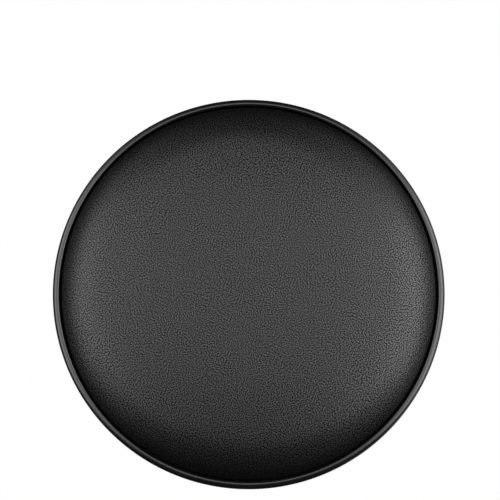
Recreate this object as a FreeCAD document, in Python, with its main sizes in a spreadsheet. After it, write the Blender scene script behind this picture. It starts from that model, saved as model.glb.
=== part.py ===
# Swivel workshop stool: a round padded seat in a steel band, on a ball-bearing swivel and four bent-tube legs.
# The origin is on the floor under the swivel's axis, +Z is up, and the front of the stool faces -Y.
# Lengths are in millimetres and angles in degrees.
import FreeCAD, Part
import Sketcher
import math
import os

SIZES = [
    ("overall_height", 730, "floor to the top of the cushion's crown"),
    ("seat_diameter", 360, "outside of the seat's steel band"),
    ("band_height", 42, "underside of the band's flange to the top of its rolled bead"),
    ("band_sheet", 1.2, "thickness of the band's sheet steel"),
    ("band_flange", 26, "width of the flange under the seat board, from the outside"),
    ("band_corner", 3.5, "outside radius of the bend between wall and flange"),
    ("bead_outer_curl", 4.3, "radius of the rolled bead from the band's wall to its crest"),
    ("bead_inner_curl", 2.1, "radius of the bead from its crest inwards and under"),
    ("crown_rise", 23, "top of the bead to the top of the crown"),
    ("crown_radius", 1950, "radius of the cushion's nearly flat middle"),
    ("shoulder_radius", 75, "radius of the cushion's shoulder"),
    ("shoulder_angle", 42, "slope of the shoulder where it rolls over the edge"),
    ("edge_roll", 5, "radius of the tight roll at the cushion's edge"),
    ("side_draw", 0.8, "how far the stretched cover draws in at its side"),
    ("cover_thickness", 1.2, "thickness of the upholstery vinyl"),
    ("cover_corner", 2.5, "outside radius of the vinyl round the board's lower edge"),
    ("cover_hem", 26, "width of vinyl turned in under the board"),
    ("seat_gap", 1.3, "gap between the bead and the cushion's side"),
    ("soft_gap", 0.2, "clearance of the foam and the board in the cover"),
    ("board_thickness", 12, "plywood seat board"),
    ("board_hole", 34, "hole in the board over the pivot"),
    ("band_screw_count", 6, "screws that hold the flange to the board"),
    ("band_screw_inset", 20, "screw centres, in from the band's outside"),
    ("band_screw_diameter", 4, "screw shank"),
    ("band_screw_length", 11, "screw shank length"),
    ("band_screw_head", 8, "screw head diameter"),
    ("band_screw_head_height", 2.4, "screw head height"),
    ("seat_bolt_spacing", 156, "side of the square of bolts between swivel and board"),
    ("seat_bolt_length", 14, "shank of those bolts"),
    ("bolt_diameter", 6, "shank of every frame bolt"),
    ("hole_clearance", 0.3, "radial clearance of a bolt in a drilled hole"),
    ("thread_clearance", 0.05, "radial clearance of a bolt in a nut"),
    ("button_head", 11, "diameter of a domed bolt head"),
    ("button_head_height", 3.3, "height of a domed bolt head"),
    ("head_edge", 0.8, "upright edge of a domed head, below its dome"),
    ("bolt_chamfer", 0.7, "chamfer on the tip of a bolt or screw"),
    ("tee_nut_flange", 19, "tee nut flange diameter"),
    ("tee_nut_flange_thickness", 1.5, "tee nut flange thickness"),
    ("tee_nut_barrel", 8, "tee nut barrel diameter"),
    ("tee_nut_length", 9, "tee nut barrel length"),
    ("washer_diameter", 12.5, "washer under a seat bolt"),
    ("washer_thickness", 1.2, "washer under a seat bolt"),
    ("top_plate_thickness", 2, "upper pressing of the swivel"),
    ("bottom_plate_thickness", 2.5, "lower pressing of the swivel"),
    ("plate_gap", 13, "between the flat parts of the two pressings"),
    ("plate_corner", 20, "corner radius of both pressings"),
    ("plate_edge", 14.5, "outermost bolt centre to the pressing's side"),
    ("race_radius", 40, "swivel axis to the middle of the ball race"),
    ("race_land", 14, "width of the raised ring that carries the race"),
    ("race_slope", 5, "width of the sloped wall beside that ring"),
    ("land_gap", 4, "between the raised rings of the two pressings"),
    ("ball_diameter", 8, "bearing ball"),
    ("ball_count", 20, "bearing balls"),
    ("ball_clearance", 0.15, "gap between a ball and its groove"),
    ("cage_thickness", 2.4, "ball cage"),
    ("cage_width", 13, "radial width of the ball cage"),
    ("pocket_clearance", 0.3, "gap between a ball and its pocket in the cage"),
    ("pin_diameter", 12, "running diameter of the pivot pin"),
    ("pin_clearance", 0.05, "radial running clearance of the pin in its bush"),
    ("pin_head", 24, "pivot pin head diameter"),
    ("pin_head_height", 4, "pivot pin head height"),
    ("pin_head_gap", 0.25, "end float under the pin's head"),
    ("pin_thread", 10, "threaded end of the pivot pin"),
    ("pin_chamfer", 1, "chamfers on the pivot pin's head and tip"),
    ("bush_wall", 3, "wall of the flanged bush"),
    ("bush_flange", 24, "flange diameter of the bush"),
    ("bush_flange_thickness", 1.5, "flange thickness of the bush"),
    ("pivot_washer", 21, "washer under the pivot nut, diameter"),
    ("pivot_washer_thickness", 2, "washer under the pivot nut"),
    ("pivot_nut_width", 17, "pivot nut across its flats"),
    ("pivot_nut_height", 10, "pivot nut"),
    ("pivot_nut_collar", 2.5, "round collar of that lock nut, part of its height"),
    ("nut_margin", 8, "raised ring to the centre of the inner leg bolt"),
    ("leg_bolt_spacing", 34, "between a leg's two bolts"),
    ("leg_bolt_end", 10, "outer leg bolt to the start of the bend"),
    ("leg_inner_end", 28, "inner leg bolt to the tube's inner end"),
    ("nut_width", 10, "weld nuts and cap nuts across their flats"),
    ("nut_height", 5, "weld nuts and the hexagon of the cap nuts"),
    ("hex_head_width", 10, "leg bolt head across its flats"),
    ("hex_head_height", 4, "leg bolt head"),
    ("saddle_thickness", 3, "least thickness of the saddle between plate and leg"),
    ("saddle_width", 20, "saddle, across the leg"),
    ("saddle_end", 9, "saddle, from a bolt to its end"),
    ("leg_washer_width", 14, "side of the curved washer under a leg"),
    ("leg_washer_thickness", 2.5, "least thickness of that washer"),
    ("tube_clearance", 0.1, "clearance of what fits round or in a tube"),
    ("leg_diameter", 22, "leg tube"),
    ("leg_wall", 1.5, "wall of the leg tube"),
    ("leg_bend_radius", 45, "bend at the top of a leg, on the tube's centre line"),
    ("splay_angle", 7, "lean of a leg from the vertical"),
    ("plug_lip", 2, "lip of the plug in a leg's inner end"),
    ("plug_length", 12, "plug inside the tube"),
    ("plug_wall", 2, "wall of the hollow plug"),
    ("ring_height", 260, "floor to the middle of the foot ring"),
    ("ring_diameter", 19, "tube of the foot ring"),
    ("ring_wall", 1.5, "wall of that tube"),
    ("ring_gap", 0.15, "between foot ring and leg"),
    ("cap_nut_gap", 0.2, "between a cap nut's middle and the ring, whose curve comes nearer at the corners"),
    ("cap_nut_wall", 1.2, "closed end of a cap nut"),
    ("cap_nut_end", 5, "diameter of a cap nut's flat end"),
    ("foot_height", 36, "rubber foot, along the leg"),
    ("foot_base", 9, "rubber under the leg's end"),
    ("foot_sole", 32, "diameter of the foot's flared base"),
    ("foot_sole_height", 6, "height of that base"),
    ("foot_wall", 2.2, "rubber round the tube"),
    ("foot_collar", 1, "how far the foot's collar stands out"),
    ("foot_collar_height", 4, "collar at the foot's mouth"),
    ("foot_washer_thickness", 1.5, "steel disc between the tube's end and the rubber"),
]

LEG_ANGLES = {"front_left": 225, "front_right": 315, "rear_right": 45, "rear_left": 135}
LEG_COUNT = len(LEG_ANGLES)
FIRST_LEG_ANGLE = 45

doc = FreeCAD.newDocument("swivel_stool")
sheet = doc.addObject("Spreadsheet::Sheet", "Sizes")
places = doc.addObject("App::VarSet", "Places")


class Size:
    """A size worked out from the sheet. Its text is a document expression, so plain arithmetic keeps the link."""

    def __init__(self, text):
        self.text = str(text)

    def __str__(self):
        return self.text

    def __add__(self, other):
        return Size(f"({self} + {other})")

    def __radd__(self, other):
        return Size(f"({other} + {self})")

    def __sub__(self, other):
        return Size(f"({self} - {other})")

    def __rsub__(self, other):
        return Size(f"({other} - {self})")

    def __mul__(self, other):
        return Size(f"({self} * {other})")

    def __rmul__(self, other):
        return Size(f"({other} * {self})")

    def __truediv__(self, other):
        return Size(f"({self} / {other})")

    def __neg__(self):
        return Size(f"(0 - {self})")

    def __float__(self):
        return float(sheet.evalExpression(self.text))


def sin(angle):
    return Size(f"sin({angle})")


def cos(angle):
    return Size(f"cos({angle})")


def tan(angle):
    return Size(f"tan({angle})")


def root(value):
    return Size(f"sqrt({value})")


def leg_of(hypotenuse, other_leg):
    """The third side of a right-angled triangle."""
    return root(hypotenuse * hypotenuse - other_leg * other_leg)


def place(name, value):
    """Keeps a derived size in the document under a name of its own."""
    places.addProperty("App::PropertyFloat", name)
    places.setExpression(name, str(value))
    doc.recompute()
    return Size(f"Places.{name}")


# The sheet of driving sizes
for row, (alias, number, meaning) in enumerate(SIZES, start=1):
    sheet.set(f"A{row}", alias)
    sheet.set(f"B{row}", str(number))
    sheet.set(f"C{row}", meaning)
    sheet.setAlias(f"B{row}", alias)
doc.recompute()
S = {alias: Size(f"Sizes.{alias}") for alias, number, meaning in SIZES}

# Heights, from the crown of the cushion down to the legs
bead_top = place("bead_top", S["overall_height"] - S["crown_rise"])
flange_under = place("flange_under", bead_top - S["band_height"])
flange_top = place("flange_top", flange_under + S["band_sheet"])
board_under = place("board_under", flange_top + S["cover_thickness"])
board_top = place("board_top", board_under + S["board_thickness"])
top_plate_under = place("top_plate_under", board_under - S["top_plate_thickness"])
bottom_plate_top = place("bottom_plate_top", top_plate_under - S["plate_gap"])
bottom_plate_under = place("bottom_plate_under", bottom_plate_top - S["bottom_plate_thickness"])
ball_height = place("ball_height", top_plate_under - S["plate_gap"] / 2)
leg_radius = place("leg_radius", S["leg_diameter"] / 2)
leg_top_height = place("leg_top_height", bottom_plate_under - S["saddle_thickness"] - leg_radius)

# Distances from the swivel's axis
seat_radius = place("seat_radius", S["seat_diameter"] / 2)
bead_crest = place("bead_crest", seat_radius - S["bead_outer_curl"])
cover_radius = place("cover_radius", bead_crest - S["bead_inner_curl"] - S["seat_gap"])
board_radius = place("board_radius", cover_radius - S["cover_thickness"] - S["soft_gap"])
band_screw_radius = place("band_screw_radius", seat_radius - S["band_screw_inset"])
race_outside = place("race_outside", S["race_radius"] + S["race_land"] / 2 + S["race_slope"])
race_inside = place("race_inside", S["race_radius"] - S["race_land"] / 2 - S["race_slope"])
inner_bolt = place("inner_bolt", race_outside + S["nut_margin"])
outer_bolt = place("outer_bolt", inner_bolt + S["leg_bolt_spacing"])
tube_inner_end = place("tube_inner_end", inner_bolt - S["leg_inner_end"])
bend_start = place("bend_start", outer_bolt + S["leg_bolt_end"])
seat_bolt_offset = place("seat_bolt_offset", S["seat_bolt_spacing"] / 2)

# The line of a leg, in the upright plane through the swivel's axis
lean = S["splay_angle"]
bend_tangent = place("bend_tangent", S["leg_bend_radius"] * tan(45 - lean / 2))
bend_corner = place("bend_corner", bend_start + bend_tangent)
foot_radius = place("foot_radius", bend_corner + leg_top_height * tan(lean))
tube_end = place("tube_end", S["foot_base"] + S["foot_washer_thickness"])

# The foot ring lies against the inside of the legs, and its bolts stand square to the legs
ring_offset = place("ring_offset", leg_radius + S["ring_gap"] + S["ring_diameter"] / 2)
ring_bolt_along = place("ring_bolt_along", (S["ring_height"] + ring_offset * sin(lean)) / cos(lean))
ring_radius = place("ring_radius", foot_radius - ring_bolt_along * sin(lean) - ring_offset * cos(lean))

bolt_radius = place("bolt_radius", S["bolt_diameter"] / 2)
drilled_radius = place("drilled_radius", bolt_radius + S["hole_clearance"])
nut_bore_radius = place("nut_bore_radius", bolt_radius + S["thread_clearance"])
pin_radius = place("pin_radius", S["pin_diameter"] / 2)
bush_radius = place("bush_radius", pin_radius + S["pin_clearance"] + S["bush_wall"])
pin_thread_radius = place("pin_thread_radius", S["pin_thread"] / 2)


def on_leg(along, out):
    """A point beside a leg: so far up its line from the floor, and so far out from that line."""
    return (
        foot_radius - along * sin(lean) + out * cos(lean),
        along * cos(lean) + out * sin(lean),
    )


# Sketches and features

def new_body(label):
    body = doc.addObject("PartDesign::Body", label)
    body.Label = label
    return body


def origin_feature(body, role):
    return next(feature for feature in body.Origin.OriginFeatures if feature.Role == role)


def new_sketch(body, plane, lift=0):
    """A sketch on one of the body's own planes, lifted along the plane's normal."""
    sketch = body.newObject("Sketcher::SketchObject", body.Label + "_sketch")
    sketch.AttachmentSupport = [(origin_feature(body, plane), "")]
    sketch.MapMode = "FlatFace"
    sketch.setExpression("AttachmentOffset.Base.z", str(lift))
    doc.recompute()
    return sketch


def bind(sketch, constraint, value):
    index = sketch.addConstraint(constraint)
    sketch.setExpression(f"Constraints[{index}]", str(value))


def fix_point(sketch, edge, end, point):
    """Ties an edge's end to its two coordinates."""
    for axis, kind, value in ((-2, "DistanceX", point[0]), (-1, "DistanceY", point[1])):
        if isinstance(value, Size):
            bind(sketch, Sketcher.Constraint(kind, -1, 1, edge, end, float(value)), value)
        else:
            sketch.addConstraint(Sketcher.Constraint("PointOnObject", edge, end, axis))


def flat(point):
    return FreeCAD.Vector(float(point[0]), float(point[1]), 0)


def add_arc(sketch, start, finish, radius, turn):
    """An arc of under a half circle that turns left or right on its way. Returns its edge and the end it starts from."""
    a, b = flat(start), flat(finish)
    chord = b - a
    left = FreeCAD.Vector(-chord.y, chord.x, 0).normalize()
    side = 1 if turn == "left" else -1
    rise = math.sqrt(max(float(radius) ** 2 - (chord.Length / 2) ** 2, 0))
    centre = (a + b) / 2 + left * side * rise
    first, last = (a, b) if turn == "left" else (b, a)
    angles = [math.atan2(point.y - centre.y, point.x - centre.x) for point in (first, last)]
    circle = Part.Circle(centre, FreeCAD.Vector(0, 0, 1), float(radius))
    edge = sketch.addGeometry(Part.ArcOfCircle(circle, angles[0], angles[1]), False)
    bind(sketch, Sketcher.Constraint("Radius", edge, float(radius)), radius)
    return edge, 1 if turn == "left" else 2


def draw_path(sketch, corners, closed=True):
    """Draws edges from corner to corner. A corner is (x, y), or (x, y, radius, turn) where an arc leaves it."""
    count = len(corners) if closed else len(corners) - 1
    begins, finishes = [], []
    for index in range(count):
        corner, following = corners[index], corners[(index + 1) % len(corners)]
        if len(corner) == 4:
            edge, begin = add_arc(sketch, corner, following, corner[2], corner[3])
        else:
            edge, begin = sketch.addGeometry(Part.LineSegment(flat(corner), flat(following)), False), 1
        fix_point(sketch, edge, begin, corner)
        begins.append((edge, begin))
        finishes.append((edge, 3 - begin))
    for finish, begin in zip(finishes, begins[1:]):
        sketch.addConstraint(Sketcher.Constraint("Coincident", *finish, *begin))
    if closed:
        sketch.addConstraint(Sketcher.Constraint("Coincident", *finishes[-1], *begins[0]))
    else:
        fix_point(sketch, *finishes[-1], corners[-1])
    doc.recompute()


def draw_circle(sketch, radius, x=0, y=0):
    edge = sketch.addGeometry(Part.Circle(flat((x, y)), FreeCAD.Vector(0, 0, 1), float(radius)), False)
    bind(sketch, Sketcher.Constraint("Radius", edge, float(radius)), radius)
    fix_point(sketch, edge, 3, (x, y))
    doc.recompute()


def draw_hexagon(sketch, width, x=0, y=0):
    corner_radius = width / math.sqrt(3)
    draw_path(sketch, [
        (x + corner_radius * Size(round(math.cos(math.radians(60 * k)), 9)),
         y + corner_radius * Size(round(math.sin(math.radians(60 * k)), 9)))
        for k in range(6)
    ])


def draw_rounded_square(sketch, half, corner):
    """A square centred on the origin, with quarter-circle corners."""
    inner = half - corner
    draw_path(sketch, [
        (-inner, -half), (inner, -half, corner, "left"),
        (half, -inner), (half, inner, corner, "left"),
        (inner, half), (-inner, half, corner, "left"),
        (-half, inner), (-half, -inner, corner, "left"),
    ])


def turned_about(sketch, start, finish):
    """Draws a construction line, which a feature turns about."""
    edge = sketch.addGeometry(Part.LineSegment(flat(start), flat(finish)), True)
    fix_point(sketch, edge, 1, start)
    fix_point(sketch, edge, 2, finish)
    doc.recompute()
    return (sketch, ["Axis0"])


def revolve(body, sketch, axis=None, kind="PartDesign::Revolution"):
    feature = body.newObject(kind, body.Label + "_turned")
    feature.Profile = sketch
    feature.ReferenceAxis = axis or (sketch, ["V_Axis"])
    feature.Angle = 360
    doc.recompute()
    return feature


def pad(body, sketch, length, downward=False):
    feature = body.newObject("PartDesign::Pad", body.Label + "_pad")
    feature.Profile = sketch
    feature.Reversed = downward
    feature.setExpression("Length", str(length))
    doc.recompute()
    return feature


def pocket(body, sketch, length):
    """Cuts downwards from the sketch, against its normal."""
    feature = body.newObject("PartDesign::Pocket", body.Label + "_pocket")
    feature.Profile = sketch
    feature.setExpression("Length", str(length))
    doc.recompute()
    return feature


def polar(body, features, count):
    """Repeats features evenly round the swivel's axis."""
    feature = body.newObject("PartDesign::PolarPattern", body.Label + "_ring")
    feature.Originals = features
    feature.Axis = (origin_feature(body, "Z_Axis"), [""])
    feature.Angle = 360
    feature.setExpression("Occurrences", str(count))
    body.Tip = feature
    doc.recompute()
    return feature


def turn_to(body, angle):
    """Turns a finished body about the swivel's axis."""
    body.Placement = FreeCAD.Placement(FreeCAD.Vector(), FreeCAD.Rotation(FreeCAD.Vector(0, 0, 1), angle))


# Seat: the steel band, a tray with a rolled bead round its top and a flange under the board
def edge_band():
    body = new_body("edge_band")
    sheet_steel, corner = S["band_sheet"], S["band_corner"]
    outer_curl, inner_curl = S["bead_outer_curl"], S["bead_inner_curl"]
    bore = inner_curl - sheet_steel
    curl_centre = bead_top - inner_curl
    wall_top = bead_top - outer_curl
    sketch = new_sketch(body, "XZ_Plane")
    draw_path(sketch, [
        (seat_radius - S["band_flange"], flange_under),
        (seat_radius - corner, flange_under, corner, "left"),
        (seat_radius, flange_under + corner),
        (seat_radius, wall_top, outer_curl, "left"),
        (bead_crest, bead_top, inner_curl, "left"),
        (bead_crest - inner_curl, curl_centre, inner_curl, "left"),
        (bead_crest, curl_centre - inner_curl),
        (bead_crest, curl_centre - bore, bore, "right"),
        (bead_crest - bore, curl_centre, bore, "right"),
        (bead_crest, curl_centre + bore, outer_curl - sheet_steel, "right"),
        (seat_radius - sheet_steel, wall_top),
        (seat_radius - sheet_steel, flange_under + corner, corner - sheet_steel, "right"),
        (seat_radius - corner, flange_top),
        (seat_radius - S["band_flange"], flange_top),
    ])
    revolve(body, sketch)
    holes = new_sketch(body, "XY_Plane", flange_top)
    draw_circle(holes, S["band_screw_diameter"] / 2 + S["hole_clearance"], band_screw_radius)
    polar(body, [pocket(body, holes, S["band_sheet"])], S["band_screw_count"])
    return body


def cushion_corners(inset):
    """The cushion's outline from crown to side, the given distance inside the cover's outer face."""
    shoulder, roll = S["shoulder_radius"], S["edge_roll"]
    slope_sin, slope_cos = sin(S["shoulder_angle"]), cos(S["shoulder_angle"])
    crown_run = cover_radius - shoulder * slope_sin - roll * (1 - slope_sin)
    crown_sin = crown_run / (S["crown_radius"] - shoulder)
    crown_cos = leg_of(Size(1), crown_sin)
    join_run = S["crown_radius"] * crown_sin
    join_drop = S["crown_radius"] * (1 - crown_cos)
    edge_run = join_run + shoulder * (slope_sin - crown_sin)
    edge_drop = join_drop + shoulder * (crown_cos - slope_cos)
    top = S["overall_height"]
    side_top = top - edge_drop - roll * slope_cos
    return [
        (0, top - inset, S["crown_radius"] - inset, "right"),
        (join_run - inset * crown_sin, top - join_drop - inset * crown_cos, shoulder - inset, "right"),
        (edge_run - inset * slope_sin, top - edge_drop - inset * slope_cos, roll - inset, "right"),
        (cover_radius - inset, side_top),
    ]


def drawn_side(corners, inset):
    """The outline with the side that the stretched cover draws in, from the edge roll to the board."""
    half_height = (corners[-1][1] - board_top) / 2
    bow = (half_height * half_height + S["side_draw"] * S["side_draw"]) / (2 * S["side_draw"])
    return corners[:-1] + [(*corners[-1], bow + inset, "left"), (cover_radius - inset, board_top)]


# Seat: vinyl cover, stretched over the foam and turned in under the board
def seat_cover():
    body = new_body("seat_cover")
    vinyl, corner = S["cover_thickness"], S["cover_corner"]
    outer_face = drawn_side(cushion_corners(Size(0)), Size(0))
    inner_face = drawn_side(cushion_corners(vinyl), vinyl)
    hem_end = cover_radius - S["cover_hem"]
    sketch = new_sketch(body, "XZ_Plane")
    crown, join, edge, side, seat_line = inner_face
    draw_path(sketch, outer_face + [
        (cover_radius, flange_top + corner, corner, "right"),
        (cover_radius - corner, flange_top),
        (hem_end, flange_top),
        (hem_end, board_under),
        (cover_radius - corner, board_under, corner - vinyl, "left"),
        (cover_radius - vinyl, flange_top + corner),
        (*seat_line, side[2], "right"),
        (*side[:2], edge[2], "left"),
        (*edge[:2], join[2], "left"),
        (*join[:2], crown[2], "left"),
        crown[:2],
    ])
    revolve(body, sketch)
    holes = new_sketch(body, "XY_Plane", board_under)
    draw_circle(holes, S["band_screw_diameter"] / 2 + S["hole_clearance"], band_screw_radius)
    polar(body, [pocket(body, holes, S["cover_thickness"])], S["band_screw_count"])
    return body


# Seat: moulded foam, crowned, on the board
def foam_pad():
    body = new_body("foam_pad")
    inset = S["cover_thickness"] + S["soft_gap"]
    sketch = new_sketch(body, "XZ_Plane")
    draw_path(sketch, drawn_side(cushion_corners(inset), inset) + [(0, board_top)])
    revolve(body, sketch)
    return body


def square_of_circles(sketch, radius, offset):
    for x_side in (-1, 1):
        for y_side in (-1, 1):
            draw_circle(sketch, radius, offset * Size(x_side), offset * Size(y_side))


# Seat: plywood board, drilled for the tee nuts, the pivot and the band's screws
def seat_board():
    body = new_body("seat_board")
    sketch = new_sketch(body, "XY_Plane", board_under)
    draw_circle(sketch, board_radius)
    draw_circle(sketch, S["board_hole"] / 2)
    square_of_circles(sketch, S["tee_nut_barrel"] / 2 + S["thread_clearance"], seat_bolt_offset)
    pad(body, sketch, S["board_thickness"])
    seats = new_sketch(body, "XY_Plane", board_top)
    square_of_circles(seats, S["tee_nut_flange"] / 2 + S["thread_clearance"], seat_bolt_offset)
    drilled = pocket(body, seats, S["tee_nut_flange_thickness"])
    rim_edges = [
        f"Edge{number}"
        for number, edge in enumerate(drilled.Shape.Edges, start=1)
        if isinstance(edge.Curve, Part.Circle) and abs(edge.Curve.Radius - float(board_radius)) < 1e-6
        and abs(edge.Curve.Center.z - float(board_under)) < 1e-6
    ]
    rim = body.newObject("PartDesign::Chamfer", "seat_board_chamfer")
    rim.Base = (drilled, rim_edges)
    rim.setExpression("Size", str(S["cover_corner"]))
    doc.recompute()
    pilots = new_sketch(body, "XY_Plane", flange_top + S["band_screw_length"])
    draw_circle(pilots, S["band_screw_diameter"] / 2 + S["thread_clearance"], band_screw_radius)
    polar(body, [pocket(body, pilots, S["band_screw_length"])], S["band_screw_count"])
    return body


def dome_radius(head_radius, head_height):
    """The radius of a domed head's top, which rises from the head's upright edge."""
    rise = head_height - S["head_edge"]
    return (head_radius * head_radius + rise * rise) / (2 * rise)


def domed_bolt(sketch, line, radius, head_radius, head_height, seat, tip):
    """Half the outline of an upright bolt on the given line, whose domed head hangs under its seat."""
    chamfer = S["bolt_chamfer"]
    draw_path(sketch, [
        (line, seat - head_height, dome_radius(head_radius, head_height), "left"),
        (line + head_radius, seat - S["head_edge"]),
        (line + head_radius, seat),
        (line + radius, seat),
        (line + radius, tip - chamfer),
        (line + radius - chamfer, tip),
        (line, tip),
    ])


# Seat: screws up through the band's flange and the vinyl into the board
def band_screws():
    body = new_body("band_screws")
    sketch = new_sketch(body, "XZ_Plane")
    domed_bolt(
        sketch, band_screw_radius, S["band_screw_diameter"] / 2, S["band_screw_head"] / 2,
        S["band_screw_head_height"], flange_under, flange_under + S["band_screw_length"],
    )
    axis = turned_about(sketch, (band_screw_radius, flange_under), (band_screw_radius, board_top))
    polar(body, [revolve(body, sketch, axis)], S["band_screw_count"])
    return body


# Seat: bolts through the swivel's upper pressing into the tee nuts, with their washers
seat_bolt_radius = place("seat_bolt_radius", seat_bolt_offset * math.sqrt(2))
washer_under = place("washer_under", top_plate_under - S["washer_thickness"])


def seat_bolts():
    body = new_body("seat_bolts")
    sketch = new_sketch(body, "XZ_Plane")
    domed_bolt(
        sketch, seat_bolt_radius, bolt_radius, S["button_head"] / 2,
        S["button_head_height"], washer_under, washer_under + S["seat_bolt_length"],
    )
    axis = turned_about(sketch, (seat_bolt_radius, washer_under), (seat_bolt_radius, board_top))
    polar(body, [revolve(body, sketch, axis)], LEG_COUNT)
    turn_to(body, FIRST_LEG_ANGLE)
    return body


def seat_bolt_washers():
    body = new_body("seat_bolt_washers")
    sketch = new_sketch(body, "XY_Plane", washer_under)
    draw_circle(sketch, S["washer_diameter"] / 2, seat_bolt_radius)
    draw_circle(sketch, drilled_radius, seat_bolt_radius)
    polar(body, [pad(body, sketch, S["washer_thickness"])], LEG_COUNT)
    turn_to(body, FIRST_LEG_ANGLE)
    return body


def tee_nuts():
    body = new_body("tee_nuts")
    line = seat_bolt_radius
    flange_seat = board_top - S["tee_nut_flange_thickness"]
    sketch = new_sketch(body, "XZ_Plane")
    draw_path(sketch, [
        (line + nut_bore_radius, flange_seat - S["tee_nut_length"]),
        (line + S["tee_nut_barrel"] / 2, flange_seat - S["tee_nut_length"]),
        (line + S["tee_nut_barrel"] / 2, flange_seat),
        (line + S["tee_nut_flange"] / 2, flange_seat),
        (line + S["tee_nut_flange"] / 2, board_top),
        (line + nut_bore_radius, board_top),
    ])
    axis = turned_about(sketch, (line, board_under), (line, board_top))
    polar(body, [revolve(body, sketch, axis)], LEG_COUNT)
    turn_to(body, FIRST_LEG_ANGLE)
    return body


# Swivel: each pressing is a square plate with a raised ring, and the ring carries a groove for the balls.
# The same outline serves both, with the ring pressed down from the upper plate or up from the lower one.
def pressed_plate(label, half_side, near_face, thickness, side, hole_radius):
    """side is +1 where the plate lies above the balls and -1 where it lies below. near_face looks at the balls."""
    body = new_body(label)
    up = Size(side)
    race, land, slope = S["race_radius"], S["race_land"] / 2, S["race_slope"]
    groove = S["ball_diameter"] / 2 + S["ball_clearance"]
    land_face = ball_height + up * S["land_gap"] / 2
    groove_half = leg_of(groove, S["land_gap"] / 2)
    back_half = leg_of(groove + thickness, S["land_gap"] / 2 + thickness)
    inside, outside = ("right", "left") if side > 0 else ("left", "right")
    ring_edge = race_outside + slope
    back = up * thickness

    plate = new_sketch(body, "XY_Plane", near_face if side > 0 else near_face - thickness)
    draw_rounded_square(plate, half_side, S["plate_corner"])
    draw_circle(plate, ring_edge)
    pad(body, plate, thickness)
    ring = new_sketch(body, "XZ_Plane")
    draw_path(ring, [
        (hole_radius, near_face),
        (race_inside, near_face),
        (race - land, land_face),
        (race - groove_half, land_face, groove, inside),
        (race + groove_half, land_face),
        (race + land, land_face),
        (race_outside, near_face),
        (ring_edge, near_face),
        (ring_edge, near_face + back),
        (race_outside, near_face + back),
        (race + land, land_face + back),
        (race + back_half, land_face + back, groove + thickness, outside),
        (race - back_half, land_face + back),
        (race - land, land_face + back),
        (race_inside, near_face + back),
        (hole_radius, near_face + back),
    ])
    revolve(body, ring)
    return body


def swivel_top_plate():
    half_side = seat_bolt_offset + S["plate_edge"]
    body = pressed_plate(
        "swivel_top_plate", half_side, top_plate_under, S["top_plate_thickness"], 1,
        bush_radius + S["thread_clearance"])
    holes = new_sketch(body, "XY_Plane", board_under)
    square_of_circles(holes, drilled_radius, seat_bolt_offset)
    pocket(body, holes, S["top_plate_thickness"])
    return body


def swivel_bottom_plate():
    half_side = outer_bolt / math.sqrt(2) + S["plate_edge"]
    body = pressed_plate(
        "swivel_bottom_plate", half_side, bottom_plate_top, S["bottom_plate_thickness"], -1,
        pin_thread_radius + S["thread_clearance"])
    holes = new_sketch(body, "XY_Plane", bottom_plate_top)
    for bolt in (inner_bolt, outer_bolt):
        square_of_circles(holes, drilled_radius, bolt / math.sqrt(2))
    pocket(body, holes, S["bottom_plate_thickness"])
    return body


# Swivel: balls in the grooves, kept apart by a thin cage that rolls round with them
def bearing_balls():
    body = new_body("bearing_balls")
    race, ball = S["race_radius"], S["ball_diameter"] / 2
    sketch = new_sketch(body, "XZ_Plane")
    draw_path(sketch, [
        (race, ball_height - ball, ball, "left"),
        (race + ball, ball_height, ball, "left"),
        (race, ball_height + ball),
    ])
    axis = turned_about(sketch, (race, ball_height - ball), (race, ball_height + ball))
    polar(body, [revolve(body, sketch, axis)], S["ball_count"])
    return body


def ball_cage():
    body = new_body("ball_cage")
    sketch = new_sketch(body, "XY_Plane", ball_height - S["cage_thickness"] / 2)
    draw_circle(sketch, S["race_radius"] + S["cage_width"] / 2)
    draw_circle(sketch, S["race_radius"] - S["cage_width"] / 2)
    pad(body, sketch, S["cage_thickness"])
    pockets = new_sketch(body, "XY_Plane", ball_height + S["cage_thickness"] / 2)
    draw_circle(pockets, S["ball_diameter"] / 2 + S["pocket_clearance"], S["race_radius"])
    polar(body, [pocket(body, pockets, S["cage_thickness"])], S["ball_count"])
    return body


# Swivel: shouldered pivot pin, fast in the lower pressing, and the flanged bush that turns on it
bush_top = place("bush_top", board_under + S["bush_flange_thickness"])
pin_head_under = place("pin_head_under", bush_top + S["pin_head_gap"])
pivot_washer_under = place("pivot_washer_under", bottom_plate_under - S["pivot_washer_thickness"])
pivot_nut_under = place("pivot_nut_under", pivot_washer_under - S["pivot_nut_height"])


def pivot_pin():
    body = new_body("pivot_pin")
    head, height, chamfer = S["pin_head"] / 2, S["pin_head_height"], S["pin_chamfer"]
    sketch = new_sketch(body, "XZ_Plane")
    draw_path(sketch, [
        (0, pivot_nut_under - chamfer),
        (pin_thread_radius - chamfer, pivot_nut_under - chamfer),
        (pin_thread_radius, pivot_nut_under),
        (pin_thread_radius, bottom_plate_top),
        (pin_radius, bottom_plate_top),
        (pin_radius, pin_head_under),
        (head, pin_head_under),
        (head, pin_head_under + height - chamfer),
        (head - chamfer, pin_head_under + height),
        (0, pin_head_under + height),
    ])
    revolve(body, sketch)
    return body


def pivot_bush():
    body = new_body("pivot_bush")
    bore = pin_radius + S["pin_clearance"]
    sketch = new_sketch(body, "XZ_Plane")
    draw_path(sketch, [
        (bore, top_plate_under),
        (bush_radius, top_plate_under),
        (bush_radius, board_under),
        (S["bush_flange"] / 2, board_under),
        (S["bush_flange"] / 2, bush_top),
        (bore, bush_top),
    ])
    revolve(body, sketch)
    return body


def pivot_washer():
    body = new_body("pivot_washer")
    sketch = new_sketch(body, "XY_Plane", pivot_washer_under)
    draw_circle(sketch, S["pivot_washer"] / 2)
    draw_circle(sketch, pin_thread_radius + S["thread_clearance"])
    pad(body, sketch, S["pivot_washer_thickness"])
    return body


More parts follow.
